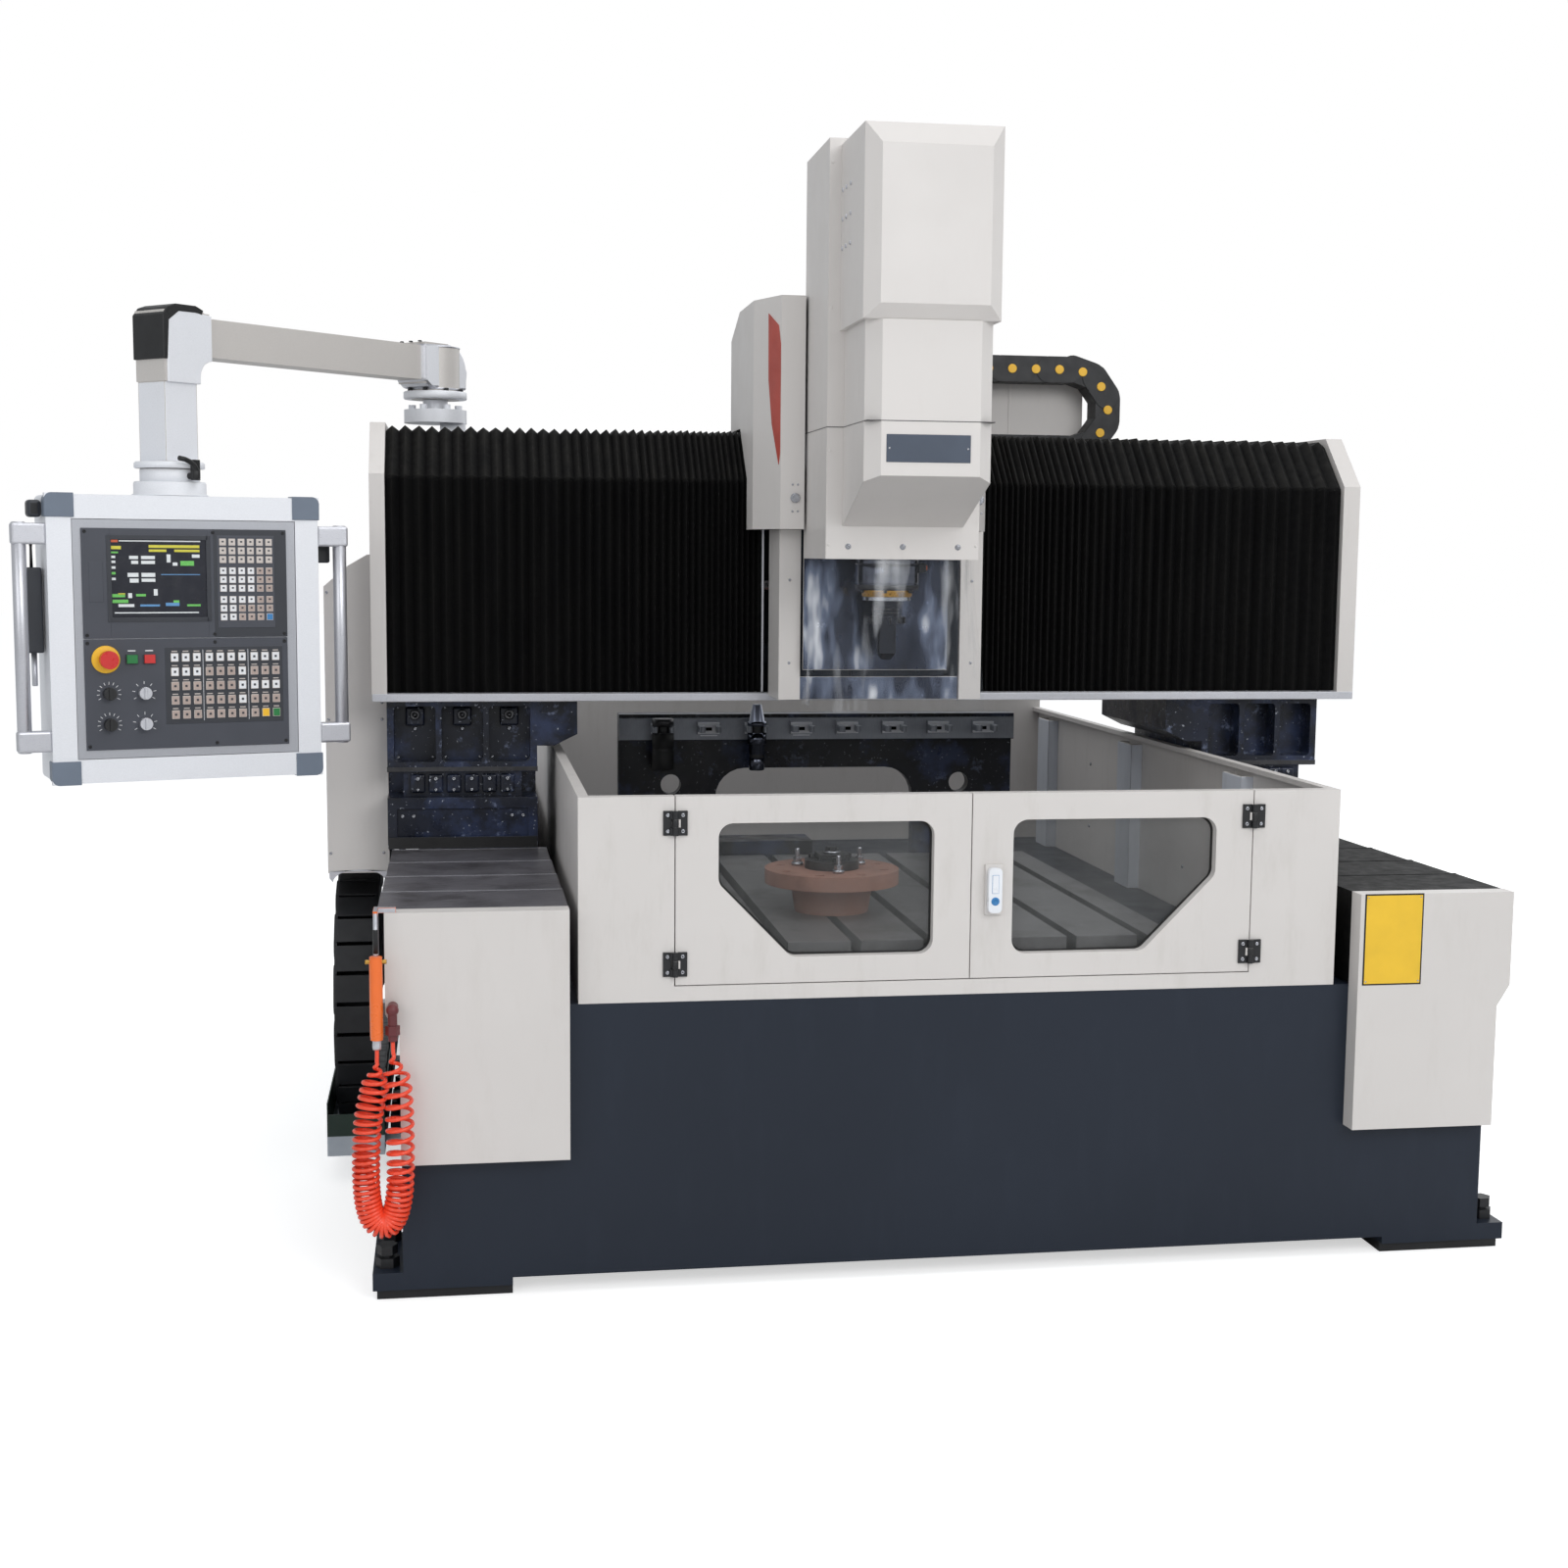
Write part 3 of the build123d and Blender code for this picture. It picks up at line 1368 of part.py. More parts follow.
def pendant_box():
    z0 = pendant_bottom
    z1 = pendant_top
    body = block(box_x0, box_x1, box_y0, box_y1, z0, z1)
    body = fillet(body.edges().filter_by(Axis.Y), 12)
    body -= block(box_x0 + 4, box_x1 - 4, box_y0 + 14, box_y1 - 4, z0 + 4, z1 - 4)
    body -= block(box_x0 + profile, box_x1 - profile, box_y0 - 1, box_y0 + 15, z0 + profile,
                  z1 - profile)
    # the corner castings stand proud of the profiles
    for xa, xb in ((box_x0 - 2, box_x0 + profile + 6), (box_x1 - profile - 6, box_x1 + 2)):
        for za, zb in ((z0 - 2, z0 + profile - 4), (z1 - profile + 4, z1 + 2)):
            cap = block(xa, xb, box_y0 - 2, box_y0 + 14, za, zb)
            cap -= block(box_x0 + profile, box_x1 - profile, box_y0 - 3, box_y0 + 16,
                         z0 + profile, z1 - profile)
            body += cap
    body += handle(box_x0, -1)
    body += handle(box_x1, 1)
    body += rod_z(0, 0, z1 - 2, z1 + 28, 74)
    body += rod_z(0, 0, z1 + 28, 1650 - slide_gap / 2, 56)
    body += block(-30, 30, -44, 44, z1, z1 + 30)
    return to_pendant(body)


lever_z = 1634.0


def clamp_lever():
    body = Pos(0, 0, lever_z) * Rot(0, 0, -60) * Pos(0, 0, 0) * rod_x(0, 0, 57, 74, 7)
    body += Pos(0, 0, lever_z) * Rot(0, 0, -60) * block(74, 86, -8, 8, -9, 34)
    return to_pendant(body)


plate_gap = 1.0
panel_x0 = box_x0 + profile + plate_gap
panel_x1 = box_x1 - profile - plate_gap
panel_z0 = pendant_bottom + profile + plate_gap
panel_z1 = pendant_top - profile - plate_gap
unit_x0 = panel_x0 + 17
unit_x1 = panel_x1 - 20
unit_top = panel_z1 - 18
unit_mid = unit_top - 232
unit_low = panel_z0 + 18
face_y = box_y0 + 2
screen_x0 = unit_x0 + 56
screen_x1 = screen_x0 + 202
screen_z1 = unit_top - 20
screen_z0 = screen_z1 - 170
key_x0 = screen_x1 + 24
key_x1 = unit_x1 - 30

# places of the operating parts on the lower panel
estop_x = unit_x0 + 46
estop_z = unit_mid - 42
green_x = estop_x + 50
red_x = green_x + 36
knob_x = (estop_x + 2, estop_x + 74)
knob_z = (estop_z - 72, estop_z - 137)


def control_panel():
    # brushed plate, upper control unit with screen recess, lower key panel
    body = block(panel_x0, panel_x1, face_y, face_y + 4, panel_z0, panel_z1)
    body += block(unit_x0, unit_x1, face_y - 4, face_y + 1, unit_mid + 2, unit_top)
    body += block(unit_x0, unit_x1, face_y - 3, face_y + 1, unit_low, unit_mid)
    body -= block(screen_x0, screen_x1, face_y - 5, face_y - 2, screen_z0, screen_z1)
    body += block(unit_x0 + 20, unit_x1 - 20, face_y + 3, face_y + 70, unit_low + 20, unit_top - 20)
    for column in range(6):
        for row in range(9):
            x = key_x0 + 8 + column * (key_x1 - key_x0 - 16) / 5
            z = unit_top - 27 - row * 18.6 - (row // 3) * 5.5
            body += block(x - 6.5, x + 6.5, face_y - 6, face_y - 3, z - 7, z + 7)
    for column in range(10):
        for row in range(5):
            group = 0 if column < 3 else (1 if column < 7 else 2)
            x = red_x + 52 + column * 23.2 + group * 3
            z = unit_mid - 40 - row * 30.5
            body += block(x - 7.5, x + 7.5, face_y - 5, face_y - 2, z - 8.5, z + 8.5)
    stems = [(estop_x, estop_z, 11), (green_x, estop_z, 8), (red_x, estop_z, 8)]
    for x in knob_x:
        for z in knob_z:
            stems.append((x, z, 4))
    for x, z, r in stems:
        body -= rod_y(x, z, face_y - 10, face_y + 40, r)
    return to_pendant(body)


panel_front = face_y - 3


def estop():
    body = rod_y(estop_x, estop_z, panel_front - 34, panel_front - 16, 19)
    body += rod_y(estop_x, estop_z, panel_front - 17, panel_front - 8, 13)
    body += rod_y(estop_x, estop_z, panel_front - 9, face_y + 24, 10.5)
    return to_pendant(body)


def square_button(x):
    body = block(x - 11, x + 11, panel_front - 9, panel_front - 3.5, estop_z - 9, estop_z + 9)
    body += rod_y(x, estop_z, panel_front - 4, face_y + 24, 7.5)
    return to_pendant(body)


def button_green():
    return square_button(green_x)


def button_red():
    return square_button(red_x)


def knob(x, z):
    body = rod_y(x, z, panel_front - 20, panel_front - 1, 13)
    body += block(x - 2.5, x + 2.5, panel_front - 24, panel_front - 19, z - 12, z + 12)
    body += rod_y(x, z, panel_front - 2, face_y + 24, 3.5)
    return to_pendant(body)


def knob_a():
    return knob(knob_x[0], knob_z[0])


def knob_b():
    return knob(knob_x[0], knob_z[1])


def knob_c():
    return knob(knob_x[1], knob_z[0])


def knob_d():
    return knob(knob_x[1], knob_z[1])


def head_body():
    return head_box() + head_nut_block()


pieces = {
    "base_frame": base_frame, "levelling_feet": levelling_feet, "table": table,
    "y_rails": y_rails, "y_screw_left": y_screw_left, "y_screw_right": y_screw_right,
    "way_cover_left": way_cover_left, "way_cover_right": way_cover_right,
    "front_cover_left": front_cover_left, "front_cover_right": front_cover_right,
    "guard_walls": guard_walls, "guard_front": guard_front, "door_hinges": door_hinges,
    "rack_portal": rack_portal, "rack_forks": rack_forks, "rack_tools": rack_tools,
    "workpiece": workpiece, "fixture": fixture,
    "air_gun": air_gun, "air_fitting": air_fitting, "air_hose": air_hose,
    "chain_tray": chain_tray,
    "column_left": column_left, "column_right": column_right, "crossbeam": crossbeam,
    "bellows_frame": bellows_frame,
    "bellows_left": bellows_left, "bellows_right": bellows_right,
    "side_cover": side_cover, "x_chain": x_chain, "chain_cover": chain_cover,
    "y_chain": y_chain, "pendant_post": pendant_post,
    "x_screw": x_screw,
    "saddle_plate": saddle_plate, "saddle_cover": saddle_cover, "saddle_skirt": saddle_skirt,
    "z_screw": z_screw,
    "head_box": head_body, "head_cover": head_cover,
    "spindle_cartridge": spindle_cartridge, "curtain": curtain,
    "spindle_shaft": spindle_shaft, "tool_holder": tool_holder,
    "left_door": left_door, "left_window": left_window,
    "right_door": right_door, "right_window": right_window, "door_handle": door_handle,
    "pendant_arm": pendant_arm, "pendant_box": pendant_box, "control_panel": control_panel,
    "clamp_lever": clamp_lever, "estop": estop,
    "button_green": button_green, "button_red": button_red,
    "knob_a": knob_a, "knob_b": knob_b, "knob_c": knob_c, "knob_d": knob_d,
}

for name, make in pieces.items():
    made = make()
    if isinstance(made, list):
        solids = [s for m in made for s in m.solids()]
    else:
        solids = list(made.solids())
    moved = [Pos(-origin_x, -origin_y, 0) * s for s in solids]
    shape = moved[0] if len(moved) == 1 else Compound(children=moved)
    volume = sum(s.volume for s in solids)
    print(name, len(solids), round(volume / 1e6, 3), "litres")
    export_step(shape, "parts/" + name + ".step")
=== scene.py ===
# Looks for the gantry drilling and milling machine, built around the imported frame.
# Places are given in millimetres in the working frame of the source (X = 0 at the gantry
# centre, Y = 0 at the front of the base, Z = 0 at the floor) and moved by place().
import bpy
import bmesh
import random
from math import atan2, cos, hypot, pi, radians, sin, tan, tau
from mathutils import Matrix, Vector


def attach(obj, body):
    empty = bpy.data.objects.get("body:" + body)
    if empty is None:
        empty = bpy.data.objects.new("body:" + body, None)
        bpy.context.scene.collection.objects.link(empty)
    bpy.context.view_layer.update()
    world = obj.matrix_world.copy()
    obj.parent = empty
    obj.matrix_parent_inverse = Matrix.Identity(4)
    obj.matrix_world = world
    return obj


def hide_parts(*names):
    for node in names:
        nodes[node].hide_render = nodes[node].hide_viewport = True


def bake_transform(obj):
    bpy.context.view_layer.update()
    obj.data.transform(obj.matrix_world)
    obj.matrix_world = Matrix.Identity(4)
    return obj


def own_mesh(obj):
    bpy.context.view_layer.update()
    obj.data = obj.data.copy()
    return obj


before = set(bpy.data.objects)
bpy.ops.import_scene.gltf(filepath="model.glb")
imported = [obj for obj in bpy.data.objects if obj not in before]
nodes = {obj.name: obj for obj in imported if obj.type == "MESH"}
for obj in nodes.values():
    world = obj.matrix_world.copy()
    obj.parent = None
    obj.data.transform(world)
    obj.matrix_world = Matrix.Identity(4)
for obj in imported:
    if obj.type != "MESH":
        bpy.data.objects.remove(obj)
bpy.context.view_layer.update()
scene = bpy.context.scene

ORIGIN = Vector((40.0, 1300.0, 0.0))

# round parts on vertical axes, seen from above
GUN = (-1142, -78)
SPINDLE = (-30, 520)
WORK = (-141, 560)
STORED_HOLDER = (-198, 1366)
STORED_PROBE = (-448, 1366)
HOSE_EXIT = (-1112, -78, 545)
CAMERA = (-987, -4022, 1489)


def place(x, y, z):
    return (Vector((x, y, z)) - ORIGIN) / 1000.0


def linear(r, g, b):
    # a colour written as 0..255 on screen
    return tuple((c / 255 / 12.92 if c <= 10 else ((c / 255 + 0.055) / 1.055) ** 2.4)
                 for c in (r, g, b)) + (1.0,)


# Camera
yaw, pitch, roll = radians(9.10), radians(6.49), radians(0.49)
forward = Vector((sin(yaw) * cos(pitch), cos(yaw) * cos(pitch), -sin(pitch)))
flat_right = Vector((cos(yaw), -sin(yaw), 0))
flat_up = flat_right.cross(forward)
cam_right = flat_right * cos(roll) + flat_up * sin(roll)
cam_up = -flat_right * sin(roll) + flat_up * cos(roll)
cam_data = bpy.data.cameras.new("camera")
cam_data.lens = 47.29
cam_data.sensor_width = 36
cam_data.clip_start = 0.1
cam_data.clip_end = 100
camera = bpy.data.objects.new("camera", cam_data)
scene.collection.objects.link(camera)
turn = Matrix((cam_right, cam_up, -forward)).transposed().to_4x4()
camera.matrix_world = Matrix.Translation(place(*CAMERA)) @ turn
scene.camera = camera


# Materials
class Mat:
    """One procedural material: nodes are added by short calls."""

    def __init__(self, name, rough=0.5, metal=0.0, spec=0.5):
        self.m = bpy.data.materials.new(name)
        self.m.use_nodes = True
        self.t = self.m.node_tree
        self.t.nodes.clear()
        self.out = self.t.nodes.new("ShaderNodeOutputMaterial")
        self.p = self.t.nodes.new("ShaderNodeBsdfPrincipled")
        self.link(self.p.outputs[0], self.out.inputs[0])
        self.p.inputs["Roughness"].default_value = rough
        self.p.inputs["Metallic"].default_value = metal
        self.p.inputs["Specular IOR Level"].default_value = spec
        self.coords = self.t.nodes.new("ShaderNodeTexCoord").outputs["Object"]

    def link(self, a, b):
        self.t.links.new(a, b)

    def node(self, kind, **values):
        n = self.t.nodes.new(kind)
        for k, v in values.items():
            setattr(n, k, v)
        return n

    def noise(self, scale, detail=3.0, stretch=None, rough=0.55):
        n = self.node("ShaderNodeTexNoise")
        n.inputs["Scale"].default_value = scale
        n.inputs["Detail"].default_value = detail
        n.inputs["Roughness"].default_value = rough
        src = self.coords
        if stretch:
            mp = self.node("ShaderNodeMapping")
            mp.inputs["Scale"].default_value = stretch
            self.link(src, mp.inputs["Vector"])
            src = mp.outputs[0]
        self.link(src, n.inputs["Vector"])
        return n.outputs["Fac"]

    def ramp(self, fac, stops):
        r = self.node("ShaderNodeValToRGB")
        el = r.color_ramp.elements
        while len(el) < len(stops):
            el.new(0.5)
        for e, (pos, col) in zip(el, stops):
            e.position = pos
            e.color = col
        self.link(fac, r.inputs["Fac"])
        return r.outputs["Color"]

    def mix(self, fac, a, b):
        n = self.node("ShaderNodeMix", data_type="RGBA")
        for sock, val in ((n.inputs[0], fac), (n.inputs[6], a), (n.inputs[7], b)):
            if isinstance(val, bpy.types.NodeSocket):
                self.link(val, sock)
            else:
                sock.default_value = val
        return n.outputs[2]

    def range(self, fac, lo, hi, from_lo=0.3, from_hi=0.7):
        n = self.node("ShaderNodeMapRange")
        n.inputs["From Min"].default_value = from_lo
        n.inputs["From Max"].default_value = from_hi
        n.inputs["To Min"].default_value = lo
        n.inputs["To Max"].default_value = hi
        self.link(fac, n.inputs["Value"])
        return n.outputs[0]

    def colour(self, out):
        self.link(out, self.p.inputs["Base Color"])

    def rough(self, fac, lo, hi):
        self.link(self.range(fac, lo, hi), self.p.inputs["Roughness"])

    def bump(self, height, strength, distance=0.001, soft_edge=None):
        b = self.node("ShaderNodeBump")
        b.inputs["Strength"].default_value = strength
        b.inputs["Distance"].default_value = distance
        self.link(height, b.inputs["Height"])
        if soft_edge:
            v = self.node("ShaderNodeBevel")
            v.samples = 4
            v.inputs["Radius"].default_value = soft_edge
            self.link(v.outputs[0], b.inputs["Normal"])
        self.link(b.outputs[0], self.p.inputs["Normal"])


def shade(col, k):
    return tuple(min(1.0, c * k) for c in col[:3]) + (1.0,)


def paint(name, rgb, rough=0.42, vary=0.05, dirt=0.0, dirt_rgb=(120, 112, 100), scale=2.3,
          soft=0.0015, spec=0.5):
    m = Mat(name, rough, 0.0, spec)
    base = linear(*rgb)
    broad = m.noise(scale, 4)
    col = m.ramp(broad, [(0.3, shade(base, 1 - vary)), (0.7, shade(base, 1 + vary))])
    if dirt:
        streak = m.noise(9.0, 5, stretch=(2.2, 2.2, 0.5), rough=0.65)
        mask = m.range(streak, 0.0, dirt, 0.52, 0.74)
        col = m.mix(mask, col, linear(*dirt_rgb))
    m.colour(col)
    m.rough(m.noise(11.0, 4), rough - 0.06, rough + 0.08)
    m.bump(m.noise(160.0, 2), 0.05, 0.0006, soft)
    return m.m


def casting(name, rgb, specks_and_highlights=0.6, rough=0.34, spec=0.6):
    # glossy cast iron paint with coolant drops on it, and a painted broad bluish reflection and
    # paler painted highlights laid over the colour
    m = Mat(name, rough, 0.0, spec)
    base = linear(*rgb)
    broad = m.noise(7.0, 5)
    col = m.ramp(broad, [(0.32, shade(base, 0.35)), (0.7, shade(base, 1.5))])
    # painted reflection: broad bluish patches laid over the colour
    film = m.range(m.noise(9.0, 7, rough=0.62), 0.0, 0.75, 0.50, 0.64)
    col = m.mix(film, col, linear(46, 58, 90))
    # painted highlights: paler blue patches laid over the colour
    shine = m.range(m.noise(26.0, 6, rough=0.7), 0.0, specks_and_highlights, 0.60, 0.72)
    col = m.mix(shine, col, linear(146, 158, 190))
    spot = m.noise(120.0, 3, rough=0.6)
    mask = m.range(spot, 0.0, specks_and_highlights, 0.66, 0.71)
    col = m.mix(mask, col, linear(216, 222, 234))
    m.colour(col)
    m.rough(m.noise(20.0, 4), rough - 0.1, rough + 0.2)
    m.bump(m.noise(55.0, 4), 0.28, 0.0014, 0.0025)
    m.p.inputs["Coat Weight"].default_value = 0.18
    m.p.inputs["Coat Roughness"].default_value = 0.1
    return m.m


def metal(name, rgb, rough=0.28, vary=0.12, stretch=(1, 1, 1), grain=220.0, stain=0.0,
          stain_rgb=(70, 62, 52), metallic=1.0, bump=0.06):
    m = Mat(name, rough, metallic, 0.5)
    base = linear(*rgb)
    lines = m.noise(grain, 3, stretch=stretch)
    broad = m.noise(5.0, 5)
    col = m.ramp(broad, [(0.3, shade(base, 1 - vary)), (0.7, shade(base, 1 + vary))])
    col = m.mix(0.5, col, m.ramp(lines, [(0.3, shade(base, 0.82)), (0.7, shade(base, 1.12))]))
    if stain:
        patch = m.noise(6.5, 7, rough=0.68)
        mask = m.range(patch, 0.0, stain, 0.47, 0.66)
        col = m.mix(mask, col, linear(*stain_rgb))
    m.colour(col)
    m.rough(lines, max(0.05, rough - 0.09), rough + 0.13)
    m.bump(lines, bump, 0.0004, 0.0008)
    return m.m


def plastic(name, rgb, rough=0.4, vary=0.06, grain=300.0, bump=0.08, spec=0.5):
    m = Mat(name, rough, 0.0, spec)
    base = linear(*rgb)
    broad = m.noise(14.0, 3)
    m.colour(m.ramp(broad, [(0.3, shade(base, 1 - vary)), (0.7, shade(base, 1 + vary))]))
    m.rough(m.noise(40.0, 3), rough - 0.06, rough + 0.08)
    m.bump(m.noise(grain, 2), bump, 0.0003, 0.0008)
    return m.m


def painted_reflection_sheet(name):
    # polished sheet whose colour is painted reflection: dark steel with bright streaks drawn out
    # across it
    m = Mat(name, 0.16, 0.7, 0.5)
    broad = m.noise(7.0, 3, stretch=(1.6, 1, 0.45), rough=0.6)
    col = m.ramp(broad, [(0.38, linear(30, 33, 42)), (0.52, linear(64, 70, 86)),
                         (0.61, linear(120, 130, 152)), (0.69, linear(246, 249, 255))])
    m.colour(col)
    m.rough(m.noise(24.0, 4), 0.1, 0.3)
    m.bump(m.noise(9.0, 3, stretch=(2, 1, 0.5)), 0.5, 0.004, 0.001)
    return m.m


def streaked_film(name):
    # clear sheet with painted highlight streaks: it turns white and opaque only along the streak
    # noise
    m = Mat(name, 0.06, 0.0, 0.35)
    streak = m.noise(6.0, 3, stretch=(1.8, 1.8, 0.4), rough=0.55)
    m.colour(m.ramp(streak, [(0.4, linear(214, 222, 234)), (0.7, linear(250, 252, 255))]))
    m.link(m.range(streak, 0.012, 0.30, 0.58, 0.72), m.p.inputs["Alpha"])
    m.rough(m.noise(30.0, 3), 0.05, 0.12)
    return m.m


def see_through(name, rgb, alpha, rough, smear):
    m = Mat(name, rough, 0.0, 0.5)
    base = linear(*rgb)
    haze = m.noise(5.0, 5, rough=0.6)
    m.colour(m.ramp(haze, [(0.3, shade(base, 0.8)), (0.75, shade(base, 1.2))]))
    m.link(m.range(haze, alpha - smear, alpha + smear, 0.35, 0.7), m.p.inputs["Alpha"])
    m.rough(m.noise(30.0, 3), rough, rough + 0.05)
    return m.m


def cloth(name):
    m = Mat(name, 0.7, 0.0, 0.08)
    pleat_light = m.node("ShaderNodeAttribute", attribute_name="pleat_light").outputs["Fac"]
    dust = m.noise(22.0, 4, stretch=(1, 1, 0.25))
    dark = m.ramp(dust, [(0.3, linear(3, 3, 4)), (0.75, linear(8, 8, 8))])
    pale = m.ramp(dust, [(0.3, linear(20, 20, 20)), (0.75, linear(36, 35, 33))])
    # painted light: the pleat crests and the upward faces of the bevel and top get the paler
    # colour, the front stays near black
    m.colour(m.mix(m.range(pleat_light, 0.0, 0.9, 0.1, 0.9), dark, pale))
    m.rough(m.noise(60.0, 2), 0.5, 0.75)
    m.bump(m.noise(700.0, 2), 0.25, 0.0004)
    m.p.inputs["Sheen Weight"].default_value = 0.02
    return m.m


def banded(name):
    # the chain tray: pale sheet with a dark green band along its upper part
    m = Mat(name, 0.45, 0.0, 0.5)
    sep = m.node("ShaderNodeSeparateXYZ")
    m.link(m.coords, sep.inputs[0])
    up = m.range(sep.outputs["Z"], 0.0, 1.0, 0.108, 0.110)
    dust = m.noise(9.0, 5)
    green = m.ramp(dust, [(0.3, linear(24, 44, 36)), (0.7, linear(38, 62, 50))])
    pale = m.ramp(dust, [(0.3, linear(178, 186, 196)), (0.7, linear(212, 218, 224))])
    m.colour(m.mix(up, pale, green))
    m.rough(dust, 0.35, 0.55)
    m.bump(m.noise(120.0, 2), 0.06, 0.0005, 0.0015)
    return m.m


beige = paint("beige_cover", (212, 208, 205), 0.42, 0.025, dirt=0.10, dirt_rgb=(168, 160, 148))
beige_head = paint("beige_head", (216, 212, 209), 0.40, 0.02, dirt=0.05,
                   dirt_rgb=(180, 173, 164))
beige_guard = paint("beige_guard", (214, 210, 207), 0.42, 0.025, dirt=0.16,
                    dirt_rgb=(158, 152, 138))
white = paint("white_post", (212, 217, 226), 0.45, 0.03, dirt=0.2, dirt_rgb=(150, 150, 148))
navy = paint("navy_base", (33, 40, 52), 0.38, 0.10, dirt=0.12, dirt_rgb=(50, 58, 72), spec=0.3,
             scale=1.3)
navy_cast = casting("navy_casting", (16, 22, 38), 0.6, 0.3, 0.35)
navy_rack = casting("navy_rack", (10, 13, 22), 0.25, 0.36, 0.3)
iron = plastic("black_iron", (26, 27, 30), 0.45, 0.25)
table_iron = metal("table_iron", (142, 142, 143), 0.42, 0.16, (14, 1, 14), 60, 0.5,
                   (88, 85, 82), metallic=0.6)
steel = metal("bright_steel", (176, 178, 184), 0.2, 0.12, (1, 1, 8))
# painted reflection: in tool_dark and polished the coarse grain noise, drawn out upright, paints
# light and dark bands standing in for the reflections on chrome
tool_dark = metal("tool_dark", (58, 60, 66), 0.2, 0.3, (3, 3, 0.5), 20)
polished = metal("polished_steel", (98, 102, 114), 0.12, 0.45, (3, 3, 0.4), 14)
dark_steel = metal("dark_steel", (78, 78, 80), 0.36, 0.2, (1, 1, 1), 120, 0.4, (40, 38, 36))
worn_steel = metal("worn_steel", (128, 126, 132), 0.42, 0.3, (1.4, 9, 1), 26, 0.65, (62, 58, 58),
                   metallic=0.7)
rack_grey = metal("rack_grey", (148, 152, 160), 0.4, 0.15, (6, 1, 1), 60, 0.3, (92, 94, 100),
                  metallic=0.6)
black_sheet = plastic("black_sheet", (13, 13, 13), 0.6, 0.3, 120, spec=0.15)
black_plastic = plastic("black_plastic", (24, 25, 27), 0.42, 0.25)
chain_black = plastic("chain_black", (30, 31, 34), 0.5, 0.3, 200)
silver = metal("silver_alu", (205, 206, 212), 0.35, 0.05, (1, 1, 12), 240, metallic=0.85)
alu_white = metal("alu_profile", (233, 235, 240), 0.42, 0.03, (1, 1, 14), 260, metallic=0.12)
arm_grey = metal("arm_tube", (204, 200, 196), 0.4, 0.03, (1, 1, 14), 260, metallic=0.15)
brushed = metal("brushed_plate", (176, 178, 184), 0.36, 0.05, (1, 1, 30), 260, metallic=0.6)
flange = metal("raw_flange", (172, 130, 114), 0.62, 0.22, (1, 1, 1), 130, 0.5, (112, 84, 74),
               metallic=0.15, bump=0.3)
panel_grey = plastic("panel_grey", (66, 69, 78), 0.42, 0.05)
panel_dark = plastic("panel_dark", (48, 51, 58), 0.38, 0.06)
corner_grey = plastic("corner_grey", (108, 119, 134), 0.45, 0.05)
red = plastic("red_plastic", (205, 42, 40), 0.3, 0.06, spec=0.6)
stripe_red = plastic("stripe_red", (176, 72, 60), 0.4, 0.1)
yellow = plastic("yellow_plastic", (240, 186, 40), 0.4, 0.06)
plate_yellow = plastic("plate_yellow", (234, 190, 48), 0.42, 0.05)
green = plastic("green_plastic", (32, 122, 62), 0.35, 0.06)
blue = plastic("blue_plastic", (58, 128, 186), 0.4, 0.06)
key_white = plastic("key_white", (232, 233, 236), 0.45, 0.03)
key_tan = plastic("key_tan", (178, 160, 152), 0.45, 0.05)
key_beige = plastic("key_beige", (205, 196, 190), 0.45, 0.04)
plate_navy = plastic("plate_navy", (66, 76, 92), 0.4, 0.05)
white_plastic = plastic("white_plastic", (234, 237, 242), 0.3, 0.03, spec=0.6)
orange = paint("orange_gun", (238, 112, 40), 0.28, 0.06, spec=0.6, soft=0.0006)
hose_orange = plastic("hose_orange", (240, 74, 44), 0.24, 0.08, 90, 0.03, 0.6)
brass = metal("brass", (206, 160, 82), 0.3, 0.12)
maroon = plastic("maroon_fitting", (104, 44, 48), 0.35, 0.25)
rubber = plastic("rubber_black", (18, 18, 19), 0.6, 0.2)
glass = see_through("grey_glazing", (112, 114, 114), 0.13, 0.04, 0.04)
splash = painted_reflection_sheet("splash_plate")
film = streaked_film("clear_film")
bellows_cloth = cloth("bellows_cloth")
tray_paint = banded("tray_paint")

MATERIALS = (
    (navy, "base_frame crossbeam saddle_plate"),
    (iron, "levelling_feet door_hinges"),
    (table_iron, "table"),
    (steel, "y_rails y_screw_left y_screw_right x_screw z_screw spindle_shaft"),
    (beige, "front_cover_left front_cover_right bellows_frame side_cover chain_cover"),
    (beige_guard, "guard_walls guard_front left_door right_door"),
    (navy_rack, "rack_portal"),
    (rack_grey, "rack_forks"),
    (black_plastic, "rack_tools clamp_lever knob_a knob_b"),
    (flange, "workpiece"),
    (dark_steel, "fixture"),
    (maroon, "air_fitting"),
    (tray_paint, "chain_tray"),
    (navy_cast, "column_left column_right"),
    (alu_white, "pendant_post pendant_box"),
    (beige_head, "saddle_cover saddle_skirt head_box head_cover"),
    (polished, "spindle_cartridge"),
    (tool_dark, "tool_holder"),
    (glass, "left_window right_window"),
    (white_plastic, "door_handle"),
    (arm_grey, "pendant_arm"),
    (brushed, "control_panel"),
    (red, "estop button_red"),
    (green, "button_green"),
    (silver, "knob_c knob_d"),
    (worn_steel, "way_cover_left"),
    (black_sheet, "way_cover_right"),
    (bellows_cloth, "bellows_left bellows_right"),
    (chain_black, "x_chain y_chain"),
    (film, "curtain"),
    (orange, "air_gun"),
    (hose_orange, "air_hose"),
)
for mat, names in MATERIALS:
    for node_name in names.split():
        data = nodes[node_name].data
        data.materials.clear()
        data.materials.append(mat)


